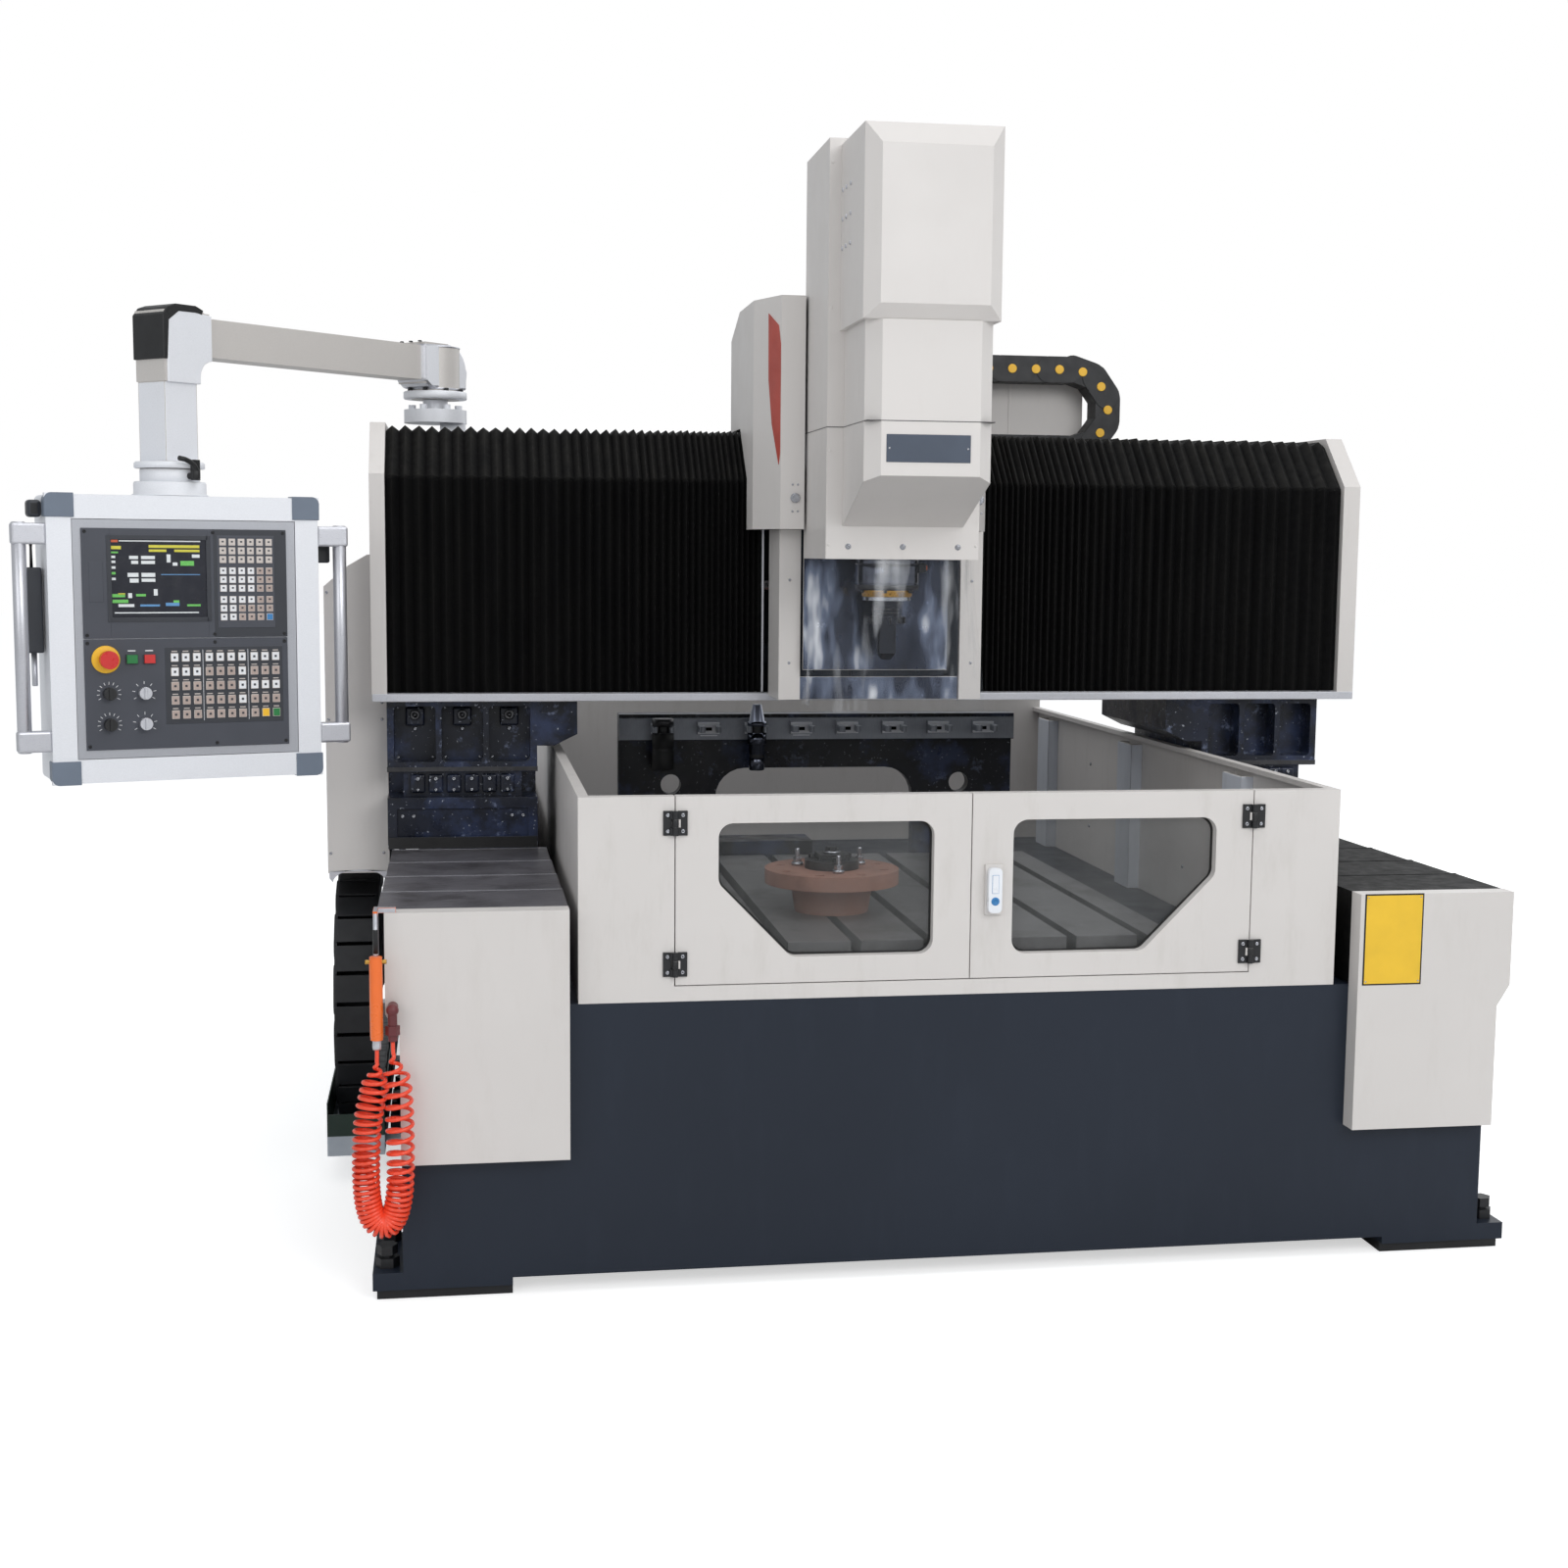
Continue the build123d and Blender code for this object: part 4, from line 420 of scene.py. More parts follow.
# Mesh tools
class Build:
    """Collects shapes in working millimetres and makes one object of them."""

    def __init__(self, matrix=None):
        self.bm = bmesh.new()
        self.mats = []
        self.matrix = Matrix.Identity(4) if matrix is None else matrix

    def slot(self, mat):
        if mat not in self.mats:
            self.mats.append(mat)
        return self.mats.index(mat)

    def add(self, verts, faces, mat, smooth=False):
        vs = [self.bm.verts.new(self.matrix @ Vector(v)) for v in verts]
        k = self.slot(mat)
        made = []
        for f in faces:
            try:
                face = self.bm.faces.new([vs[i] for i in f])
            except ValueError:
                continue
            face.material_index = k
            face.smooth = smooth
            made.append(face)
        return vs, made

    def bevel(self, made, offset, segments=2):
        if offset:
            edges = list(dict.fromkeys(e for f in made for e in f.edges))
            bmesh.ops.bevel(self.bm, geom=edges, offset=offset, segments=segments,
                            affect="EDGES", profile=0.5, clamp_overlap=True)

    def box(self, x0, x1, y0, y1, z0, z1, mat, bevel=0.0, segments=2):
        verts = [(x, y, z) for x in (x0, x1) for y in (y0, y1) for z in (z0, z1)]
        faces = [(0, 1, 3, 2), (4, 6, 7, 5), (0, 4, 5, 1), (2, 3, 7, 6), (0, 2, 6, 4), (1, 5, 7, 3)]
        vs, made = self.add(verts, faces, mat)
        self.bevel(made, bevel, segments)

    def lathe(self, x, y, z, profile, mat, axis="z", n=24, smooth=True):
        # profile: list of (distance along the axis, radius)
        verts = []
        for a, r in profile:
            for k in range(n):
                c, s = r * cos(tau * k / n), r * sin(tau * k / n)
                if axis == "z":
                    verts.append((x + c, y + s, z + a))
                elif axis == "y":
                    verts.append((x + c, y + a, z - s))
                else:
                    verts.append((x + a, y + c, z + s))
        self.rings(verts, n, mat, smooth)

    def turned(self, spot, profile, mat, n=24, smooth=True):
        # a round part on a vertical axis, its profile by height
        self.lathe(*spot, 0, profile, mat, "z", n, smooth)

    def rings(self, verts, n, mat, smooth=True):
        # joins rings of n points one after another and closes both ends
        faces = []
        for i in range(len(verts) // n - 1):
            for k in range(n):
                j = (k + 1) % n
                faces.append((i * n + k, i * n + j, (i + 1) * n + j, (i + 1) * n + k))
        vs, _ = self.add(verts, faces, mat, smooth)
        self.cap(vs[:n][::-1], mat)
        self.cap(vs[-n:], mat)

    def cap(self, ring, mat):
        try:
            face = self.bm.faces.new(ring)
            face.material_index = self.slot(mat)
        except ValueError:
            pass

    def prism(self, points, axis, a, b, mat, bevel=0.0):
        n = len(points)
        if axis == "y":
            verts = [(u, t, v) for t in (a, b) for u, v in points]
        else:
            verts = [(t, u, v) for t in (a, b) for u, v in points]
        faces = [tuple(range(n))[::-1], tuple(range(n, 2 * n))]
        faces += [(i, (i + 1) % n, n + (i + 1) % n, n + i) for i in range(n)]
        vs, made = self.add(verts, faces, mat)
        self.bevel(made, bevel)

    def tube(self, path, radius, mat, n=8):
        path = [Vector(p) for p in path]
        verts = []
        normal = None
        for i, p in enumerate(path):
            d = (path[min(i + 1, len(path) - 1)] - path[max(i - 1, 0)]).normalized()
            if normal is None:
                normal = d.orthogonal().normalized()
            else:
                normal = (normal - d * normal.dot(d)).normalized()
            side = d.cross(normal)
            for k in range(n):
                verts.append(p + (normal * cos(tau * k / n) + side * sin(tau * k / n)) * radius)
        self.rings(verts, n, mat)

    def screw(self, x, y, z, r, h, mat=steel, axis="y"):
        # a domed head with a socket in it
        s = -1 if axis == "y" else 1
        prof = [(0, r), (s * h * 0.55, r), (s * h, r * 0.72), (s * h, r * 0.42),
                (s * h * 0.4, r * 0.36), (s * h * 0.4, 0.01)]
        self.lathe(x, y, z, prof, mat, axis, 14)

    def finish(self, name):
        bmesh.ops.recalc_face_normals(self.bm, faces=self.bm.faces[:])
        for v in self.bm.verts:
            v.co = (v.co - ORIGIN) / 1000.0
        me = bpy.data.meshes.new(name)
        self.bm.to_mesh(me)
        self.bm.free()
        for m in self.mats:
            me.materials.append(m)
        ob = bpy.data.objects.new(name, me)
        scene.collection.objects.link(ob)
        return ob


def around(centre, radius, count, start=0):
    # places spaced evenly on a circle
    for k in range(count):
        a = radians(start) + tau * k / count
        yield centre[0] + radius * cos(a), centre[1] + radius * sin(a)


def ride(build, name, body):
    ob = build.finish(name)
    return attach(ob, body)


# Curly hose
ROUTE = [(-1142, -78, 530), (-1142, -78, 470), (-1166, -78, 380), (-1166, -78, 181),
         (-1100, -78, 181), (-1100, -78, 435), (-1112, -78, 500), HOSE_EXIT]


def route_points():
    # points of the smooth route line, fitting first
    curve = bpy.data.curves.new("hose_route", "CURVE")
    curve.dimensions = "3D"
    spline = curve.splines.new("NURBS")
    spline.points.add(len(ROUTE) - 1)
    for sp, p in zip(spline.points, reversed(ROUTE)):
        sp.co = (*place(*p), 1.0)
    spline.order_u = 3
    spline.use_endpoint_u = True
    spline.resolution_u = 24
    ob = bpy.data.objects.new("hose_route", curve)
    scene.collection.objects.link(ob)
    bpy.context.view_layer.update()
    me = bpy.data.meshes.new_from_object(ob)
    pts = [v.co.copy() for v in me.vertices]
    bpy.data.meshes.remove(me)
    bpy.data.objects.remove(ob)
    return pts


STEP = 0.0004          # walk along the route, metres as all below
COIL_RADIUS = 0.0235
TIGHT_PITCH = 0.0064
STRAIGHT_END = 0.022   # tube that runs straight at each end
WIDENING = 0.055       # and then widens to the full coil
POINT_GAP = 0.0045


def helix_points(line):
    lengths = [0.0]
    for a, b in zip(line, line[1:]):
        lengths.append(lengths[-1] + (b - a).length)
    total = lengths[-1]
    points, angle, s, i = [], 0.0, 0.0, 0
    side = Vector((0, 1, 0))
    while s <= total:
        while i < len(lengths) - 2 and lengths[i + 1] < s:
            i += 1
        t = (s - lengths[i]) / max(1e-9, lengths[i + 1] - lengths[i])
        p = line[i].lerp(line[i + 1], min(1.0, t))
        d = (line[i + 1] - line[i]).normalized()
        side = (side - d * side.dot(d)).normalized()
        other = d.cross(side)
        u = s / total
        end = min(s, total - s)
        grow = min(1.0, max(0.0, (end - STRAIGHT_END) / WIDENING))
        grow = grow * grow * (3 - 2 * grow)
        r = COIL_RADIUS * grow * (1 + 0.04 * sin(9 * u))
        # tight round the bottom, drawn out towards both ends, more so on the fitting's side
        pull = (0.0165, 0.22) if u < 0.5 else (0.0095, 0.25)
        pitch_here = TIGHT_PITCH + pull[0] * min(1.0, abs(u - 0.5) / pull[1]) ** 1.3
        angle += tau * STEP / pitch_here
        points.append(p + (side * cos(angle) + other * sin(angle)) * r)
        s += STEP
    kept = [points[0]]
    for q in points[1:]:
        if (q - kept[-1]).length > POINT_GAP:
            kept.append(q)
    if (points[-1] - kept[-1]).length > 0.001:
        kept.append(points[-1])
    return kept


coil = helix_points(route_points())
hose = Build()
hose.tube([Vector(p) * 1000.0 + ORIGIN for p in coil], 4.0, hose_orange, 8)
hose = ride(hose, "curly_hose", "root")
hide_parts("air_hose")

# blow gun with its nozzle tube, lever and hook
gun = Build()
gun.turned(GUN, [(547, 9), (550, 11.5), (555, 12.6), (640, 12.6), (700, 12.4), (708, 11),
                 (711, 7)], orange, 28)
gun.turned(GUN, [(529, 7.8), (533, 8.6), (539, 8.6), (541, 8.2), (547, 8.4), (549, 8)], silver, 20)
gun.turned(GUN, [(709, 5), (716, 4.6), (720, 4.4), (794, 4.3)], silver, 16)
gun.turned(GUN, [(716, 5.4), (760, 5.0), (764, 4.0)], black_plastic, 16)
gun.lathe(-1162.5, -78, 700, [(0, 4), (3, 4.6), (12, 3.4), (29, 3.4), (38, 4.6), (41, 4)],
          brass, "x", 14)
gun.box(-1146.6, -1137.4, -78.6, -38, 787.6, 797.4, silver, 0.6)
gun.box(-1146.6, -1104.4, -39.6, -22.4, 787.6, 797.4, silver, 0.6)
ride(gun, "blow_gun_dressing", "root")


# Bellows
FRONT_Y, FOOT_Z, BEND_Z, TURN_Y, TOP_Z = 840, 1152, 1646, 951, 1757
SLANT = tan(pi / 8)


def bellows_profile(d):
    # (y, z) up the front, over the bevel and along the top, d outside the inner line
    front, bend = FRONT_Y - d, BEND_Z + SLANT * d
    turn, top = TURN_Y - SLANT * d, TOP_Z + d
    return [(front, FOOT_Z), (front, 1400), (front, bend - 6), (front + 2, bend + 2),
            (turn - 5, top - 5), (turn + 3, top), (1020, top), (1100, top)]


def bellows(name, node, x_start, x_end, wide_first, seed):
    # every second ring is the outer edge of a pleat; wide_first spreads them at x_start
    rnd = random.Random(seed)
    count = 80
    rings = []
    for k in range(count + 1):
        s = k / count
        graded = s + 0.16 * sin(pi * s) * (1 if wide_first else -1)
        x = x_start + (x_end - x_start) * (0.2 * s + 0.8 * graded)
        peak = k % 2 == 1
        depth = 15.5 - 2.5 * rnd.random() if peak else 2.6 * rnd.random()
        sway = 0 if k in (0, count) else rnd.uniform(-1.2, 1.2)
        prof = bellows_profile(max(0.0, depth - (1.2 if peak else 0)))
        for off in (-0.7, 0.7) if peak else (0,):
            lean = 1.5 * sin(k * 0.9)
            ring = []
            for j, (y, z) in enumerate(prof):
                wob = 0.8 * sin(k * 1.7 + j * 2.1) if 0 < k < count else 0
                low_lean = sway + (lean if j in (3, 4) else 0)
                ring.append((x + off + low_lean, y + (wob if j in (1, 2) else 0), z))
            rings.append((ring, 1.0 if peak else 0.0))
    b = Build()
    verts, pleat_light, faces = [], [], []
    n = len(rings[0][0])
    for inner in (0, 1):
        for ring, f in rings:
            for j, (x, y, z) in enumerate(ring):
                if inner:
                    y += 1.8
                    z -= 1.8 if j > 2 else 0
                verts.append((x, y, z))
                # painted light: each crest is marked in full from the bevel up and at 0.3 down the
                # front
                pleat_light.append(f * (1.0 if j > 2 else 0.3))
    m = len(rings)
    half = m * n
    for i in range(m - 1):
        for j in range(n - 1):
            a, c = i * n + j, (i + 1) * n + j
            faces.append((a, c, c + 1, a + 1))
            faces.append((half + a, half + a + 1, half + c + 1, half + c))
        faces.append((i * n, half + i * n, half + (i + 1) * n, (i + 1) * n))
        q, w = i * n + n - 1, (i + 1) * n + n - 1
        faces.append((q, w, half + w, half + q))
    for i in (0, m - 1):
        for j in range(n - 1):
            a = i * n + j
            faces.append((a, a + 1, half + a + 1, half + a))
    b.add(verts, faces, bellows_cloth)
    ob = b.finish(name)
    attr = ob.data.attributes.new("pleat_light", "FLOAT", "POINT")
    attr.data.foreach_set("value", pleat_light)
    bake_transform(ob)
    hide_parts(node)


bellows("folded_bellows_left", "bellows_left", -1142.5, -268.5, True, 3)
bellows("folded_bellows_right", "bellows_right", 262.5, 1179.5, False, 5)


# Cable chains
def u_path(radius, run_a, run_b, pitch):
    # (along, up, angle) of each link: the upper run, the half turn, the lower run
    links = []
    for k in range(int(run_a / pitch), 0, -1):
        links.append((-(k - 0.5) * pitch, radius, 0.0))
    count = int(pi * radius / pitch)
    for k in range(count):
        a = pi / 2 - (k + 0.5) * pi / count
        links.append((radius * cos(a), radius * sin(a), a - pi / 2))
    for k in range(int(run_b / pitch)):
        links.append((-(k + 0.5) * pitch, -radius, -pi))
    return links


def cable_chain(name, node, centre, radius, height, width, pitch, run_a, run_b, turn, caps):
    b = Build()
    base = Matrix.Translation(Vector(centre)) @ Matrix.Rotation(radians(turn), 4, "Z")
    for i, (along, up, angle) in enumerate(u_path(radius, run_a, run_b, pitch)):
        b.matrix = base @ Matrix.Translation((along, 0, up)) @ Matrix.Rotation(-angle, 4, "Y")
        half = (pitch - 2) / 2
        w = width / 2
        h = height / 2
        b.box(-half, half, -w + 5, w - 5, h - 6, h - 1, chain_black, 1.2)
        b.box(-half, half, -w + 5, w - 5, -h + 1, -h + 6, chain_black, 1.2)
        b.box(-half + 8, half - 8, -w + 16, w - 16, -h + 8, h - 8, rubber, 3)
        for side in (-1, 1):
            ear = 2.0 if i % 2 else 0.0
            y0, y1 = sorted((side * (w - ear), side * (w - 6 - ear)))
            # side plates are rounded about the pins, so that they overlap round the bend
            outline = []
            for end in (1, -1):
                for k in range(13):
                    a = radians(-90 * end + 180 * k / 12)
                    outline.append((end * (pitch / 2 - 3) + (h - 1.5) * cos(a),
                                    (h - 1.5) * sin(a)))
            b.prism(outline, "y", y0, y1, chain_black)
            if caps:
                b.lathe(0, side * w, 0, [(-side * 2.1, 11.5), (side * 0.9, 11.5),
                                         (side * 1.5, 10.6)], yellow, "y", 22)
    ob = b.finish(name)
    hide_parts(node)
    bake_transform(ob)


cable_chain("saddle_cable_chain", "x_chain", (599, 1262, 1858), 101, 70, 74, 63, 567, 630, 0,
            True)
cable_chain("gantry_cable_chain", "y_chain", (-1227.5, 1166, 374), 275, 60, 103, 66, 198, 990,
            -90, False)


# Way covers
COVER_TOP, COVER_FOOT, SHEET, LIP = 787.4, 594, 2.5, 9


def way_cover(name, x0, x1, y_fixed, y_moving, mat, node):
    # four sheets, each a little lower and narrower than the last, each top cut into pieces along
    # its run
    b = Build()
    count = steps = 4
    for k in range(count):
        a = y_fixed + (y_moving - y_fixed) * k / count
        c = y_fixed + (y_moving - y_fixed) * (k + 1) / count
        lo, hi = min(a, c), max(a, c)
        drop = 1.6 * k
        top = COVER_TOP - drop
        for j in range(steps):
            p, q = lo + (hi - lo) * j / steps, lo + (hi - lo) * (j + 1) / steps
            b.box(x0 + drop, x1 - drop, p, q, top - SHEET, top, mat)
        for xa in (x0 + drop, x1 - drop - SHEET):
            b.box(xa, xa + SHEET, lo, hi, COVER_FOOT, top - SHEET, mat)
        lip = hi if y_moving > y_fixed else lo
        y0, y1 = (lip - LIP, lip) if y_moving > y_fixed else (lip, lip + LIP)
        edge = silver if mat is worn_steel else mat
        b.box(x0 + drop, x1 - drop, y0, y1, top, top + 0.9, edge, 0.4)
    ob = b.finish(name)
    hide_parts(node)
    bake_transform(ob)


for side, x0, x1, mat, slot in (("left", -1141, -772, worn_steel, "stained_steel"),
                                ("right", 866, 1202, black_sheet, "black_cover")):
    way_cover("way_cover_" + side + "_front_run", x0, x1, 1, 839, mat, "way_cover_" + side)
    way_cover("way_cover_" + side + "_rear_run", x0, x1, 2599, 1381, mat, "way_cover_" + side)


# Film round the tool
def film_curtain():
    # two layers along three sides of the head, waving more the lower they hang
    b = Build()
    x0, x1, y0, y1 = -192, 132, 367, 600
    path = [(x0, y1)]
    for k in range(1, 13):
        path.append((x0, y1 + (y0 - y1) * k / 12))
    for k in range(1, 17):
        path.append((x0 + (x1 - x0) * k / 16, y0))
    for k in range(1, 13):
        path.append((x1, y0 + (y1 - y0) * k / 12))
    rows = 14
    verts, faces = [], []
    for layer in (0, 1):
        for r in range(rows + 1):
            t = r / rows
            z = 1515 - 375 * t
            flare = 20 * max(0, t - 0.15) ** 1.4
            for i, (x, y) in enumerate(path):
                nx, ny = ((-1, 0) if x == x0 else (1, 0) if x == x1 else (0, 0))
                if y == y0:
                    ny = -1
                wave = 6 * t * sin(i * 0.9 + 2 * t) + 4 * t * sin(i * 0.37 + 5 * t)
                if i in (0, len(path) - 1):
                    wave = 0
                push = (flare + wave if t > 0.12 else 0.6) - (0.8 if layer else 0)
                verts.append((x + nx * push, y + ny * push * 0.9, z))
    n = len(path)
    half = (rows + 1) * n
    for r in range(rows):
        for i in range(n - 1):
            a, c = r * n + i, (r + 1) * n + i
            faces.append((a, a + 1, c + 1, c))
            faces.append((half + a, half + c, half + c + 1, half + a + 1))
    for r in range(rows):
        for i in (0, n - 1):
            a, c = r * n + i, (r + 1) * n + i
            faces.append((a, c, half + c, half + a))
    for i in range(n - 1):
        for r in (0, rows):
            a = r * n + i
            faces.append((a, half + a, half + a + 1, a + 1))
    b.add(verts, faces, film, True)
    return b.finish("clear_film_curtain")


tool_film = film_curtain()
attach(tool_film, "head")
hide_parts("curtain")
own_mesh(tool_film)


# Pendant details
BOX_TURN = radians(18.4)
AXIS = (-1588, 597)
pendant_matrix = Matrix.Translation((AXIS[0], AXIS[1], 0)) @ Matrix.Rotation(BOX_TURN, 4, "Z")
bx0, bx1, by0, by1 = 15 - 282.5, 15 + 282.5, -80, 80
pz0, pz1 = 988, 1591
panel_x0, panel_x1 = bx0 + 51, bx1 - 51
panel_z0, panel_z1 = pz0 + 51, pz1 - 51
unit_x0, unit_x1 = panel_x0 + 17, panel_x1 - 20
unit_top = panel_z1 - 18
unit_mid = unit_top - 232
unit_low = panel_z0 + 18
face_y = by0 + 2
screen_x0 = unit_x0 + 56
screen_x1 = screen_x0 + 202
screen_z1 = unit_top - 20
screen_z0 = screen_z1 - 170
key_x0 = screen_x1 + 24
key_x1 = unit_x1 - 30
estop_x, estop_z = unit_x0 + 46, unit_mid - 42
green_x = estop_x + 50
red_x = green_x + 36
panel_front = face_y - 3

b = Build(pendant_matrix)
# upper unit as a frame round the screen recess
unit_y = face_y - 4.5
for x0, x1, z0, z1 in ((unit_x0, screen_x0, unit_mid + 2, unit_top),
                       (screen_x1, key_x0 - 4, unit_mid + 2, unit_top),
                       (screen_x0, screen_x1, screen_z1, unit_top),
                       (screen_x0, screen_x1, unit_mid + 2, screen_z0)):
    b.box(x0, x1, unit_y, face_y - 1.5, z0, z1, panel_grey, 0.5)
b.box(key_x0 - 12, unit_x1, unit_y - 0.6, face_y - 1.5, unit_mid + 2, unit_top, panel_dark, 0.6)
b.box(key_x0 - 4, key_x1 + 4, unit_y - 1.2, unit_y, unit_mid + 22, unit_top - 13, panel_grey, 0.5)
b.box(unit_x0, unit_x1, panel_front - 0.5, face_y - 0.5, unit_low, unit_mid, panel_grey, 0.5)
b.box(red_x + 32, unit_x1 - 12, panel_front - 1.1, face_y - 1, unit_mid - 182, unit_mid - 18,
      panel_dark, 0.5)
# raised bezel of the screen
for x0, x1, z0, z1 in ((screen_x0 - 6, screen_x0 + 3, screen_z0 - 6, screen_z1 + 6),
                       (screen_x1 - 3, screen_x1 + 6, screen_z0 - 6, screen_z1 + 6),
                       (screen_x0, screen_x1, screen_z1 - 3, screen_z1 + 6),
                       (screen_x0, screen_x1, screen_z0 - 6, screen_z0 + 3)):
    b.box(x0, x1, unit_y - 1.4, unit_y + 0.5, z0, z1, panel_dark, 0.5)
b.box(unit_x0 + 14, unit_x0 + 42, unit_y - 0.5, unit_y + 0.2, unit_mid + 78, unit_top - 70,
      panel_grey, 0.2)
for x in (unit_x0 + 7, key_x0 - 12, unit_x1 - 7):
    for z in (unit_mid + 9, unit_top - 7, unit_low + 8, unit_mid - 8):
        b.screw(x, unit_y if z > unit_mid else panel_front - 0.5, z, 3.6, 2.2, iron)
# yellow collar of the stop button
b.lathe(estop_x - 3, panel_front, estop_z, [(0, 29), (-3.6, 29), (-4.4, 28), (-4.4, 15)], yellow,
        "y", 36)
for x in (green_x, red_x):
    b.box(x - 13, x + 13, panel_front - 3, panel_front, estop_z - 11, estop_z + 11, panel_dark, 1)
# tick marks round the knobs
for x, marks in ((estop_x + 2, 11), (estop_x + 74, 7)):
    for z in (estop_z - 72, estop_z - 137):
        for k in range(marks):
            a = radians(-120 + 240 * k / (marks - 1))
            cx, cz = x + 22 * sin(a), z + 22 * cos(a)
            b.matrix = pendant_matrix @ Matrix.Translation((cx, panel_front - 0.6, cz)) \
                @ Matrix.Rotation(a, 4, "Y")
            b.box(-0.6, 0.6, -0.4, 0.4, -3.0, 3.0, key_white)
b.matrix = pendant_matrix
for x in (green_x, red_x):
    b.box(x - 8, x + 8, panel_front - 0.9, panel_front, estop_z + 16, estop_z + 18.5, key_white)
# two light lines that divide the lower keys
for x in (red_x + 52 + 2.5 * 23.2 + 1.5, red_x + 52 + 6.5 * 23.2 + 4.5):
    b.box(x - 0.7, x + 0.7, panel_front - 1.6, panel_front - 0.6, unit_mid - 176, unit_mid - 24,
          silver)
ride(b, "control_faces", "pendant")


def key_caps():
    b = Build(pendant_matrix)
    for c in range(6):
        for r in range(9):
            x = key_x0 + 8 + c * (key_x1 - key_x0 - 16) / 5
            z = unit_top - 27 - r * 18.6 - (r // 3) * 5.5
            mat = key_beige if r < 3 else key_white
            if (c > 3 and r > 2) or (r > 6 and c > 1):
                mat = key_tan
            if (c, r) == (5, 8):
                mat = blue
            b.box(x - 7.2, x + 7.2, face_y - 7.4, face_y - 5.6, z - 7.4, z + 7.4, mat, 0.9)
            if mat is not blue:
                b.box(x - 2.2, x + 2.2, face_y - 7.6, face_y - 7.3, z - 0.8, z + 2.6, panel_dark)
    # t tan, w white, y yellow, g green
    plan = ["wwwwwwwwww", "wwwtttwttt", "ttttttwwww", "ttttttwttt", "ttttttttyg"]
    for c in range(10):
        for r in range(5):
            x = red_x + 52 + c * 23.2 + 3 * ((c > 2) + (c > 6))
            z = unit_mid - 40 - r * 30.5
            code = plan[r][c]
            mat = {"w": key_white, "t": key_tan, "y": yellow, "g": green}[code]
            b.box(x - 8.2, x + 8.2, face_y - 6.6, face_y - 4.6, z - 9.2, z + 9.2, mat, 1.0)
            if code in "wt":
                b.box(x - 2.4, x + 2.4, face_y - 6.8, face_y - 6.5, z - 2.4, z + 2.4, panel_dark)
            b.box(x - 6, x + 6, panel_front - 1.5, panel_front - 1.0, z + 12, z + 14, key_beige)
    ride(b, "key_caps", "pendant")


key_caps()

b = Build(pendant_matrix)
screen_y = face_y - 2
b.box(screen_x0 + 2, screen_x1 - 2, screen_y - 0.6, screen_y + 0.2, screen_z0 + 2, screen_z1 - 2,
      plastic("screen_dark", (30, 32, 42), 0.18, 0.05, 60, 0.01, 0.6))
screen_w, screen_h = screen_x1 - screen_x0, screen_z1 - screen_z0
lit = {"y": plastic("lit_yellow", (214, 206, 70), 0.3, 0.02),
       "g": plastic("lit_green", (110, 196, 96), 0.3, 0.02),
       "w": plastic("lit_white", (226, 230, 232), 0.3, 0.02),
       "b": plastic("lit_blue", (96, 150, 200), 0.3, 0.02),
       "o": plastic("lit_orange", (208, 96, 60), 0.3, 0.02)}
fields = [("y", .02, .86, .12, .9), ("y", .40, .88, .92, .915), ("y", .40, .83, .58, .86),
          ("y", .66, .83, .92, .86), ("o", .02, .945, .09, .975), ("w", .10, .955, .93, .97),
          ("g", .02, .81, .09, .83), ("w", .02, .75, .06, .78), ("w", .02, .69, .06, .72),
          ("w", .02, .62, .06, .65), ("g", .02, .55, .06, .58), ("w", .02, .48, .06, .51),
          ("w", .20, .74, .29, .78), ("w", .32, .74, .46, .78), ("w", .22, .68, .29, .72),
          ("w", .32, .68, .46, .72), ("w", .18, .52, .29, .57), ("w", .32, .52, .46, .57),
          ("w", .20, .45, .29, .50), ("w", .32, .46, .46, .50), ("w", .58, .70, .62, .80),
          ("w", .64, .66, .69, .70), ("g", .72, .66, .86, .72), ("w", .84, .76, .92, .80),
          ("b", .52, .545, .92, .555), ("g", .02, .27, .15, .31), ("y", .08, .30, .15, .32),
          ("w", .18, .26, .22, .32), ("g", .26, .28, .36, .31), ("w", .44, .29, .48, .37),
          ("g", .02, .20, .18, .24), ("w", .08, .15, .24, .185), ("b", .30, .155, .50, .18),
          ("b", .56, .16, .70, .20), ("g", .64, .20, .70, .23), ("g", .78, .155, .92, .18),
          ("w", .04, .07, .90, .085)]
for code, a, c, d, e in fields:
    b.box(screen_x0 + a * screen_w, screen_x0 + d * screen_w, screen_y - 0.9, screen_y - 0.5,
          screen_z0 + c * screen_h, screen_z0 + e * screen_h, lit[code])
ride(b, "screen_face", "pendant")

# corner castings with a rounded outer corner
b = Build(pendant_matrix)
for x_edge, sx in ((bx0 - 3, 1), (bx1 + 3, -1)):
    for z_edge, sz in ((pz0 - 3, 1), (pz1 + 3, -1)):
        inner_x = x_edge + sx * 59
        inner_z = z_edge + sz * 50
        outline = [(inner_x, z_edge)]
        for k in range(7):
            a = radians(90 * k / 6)
            outline.append((x_edge + sx * 15 * (1 - sin(a)), z_edge + sz * 15 * (1 - cos(a))))
        outline += [(x_edge, inner_z), (x_edge + sx * 53, inner_z), (inner_x, inner_z)]
        b.prism(outline, "y", by0 - 2.8, by0 + 34, corner_grey, 1.2)
ride(b, "corner_castings", "pendant")

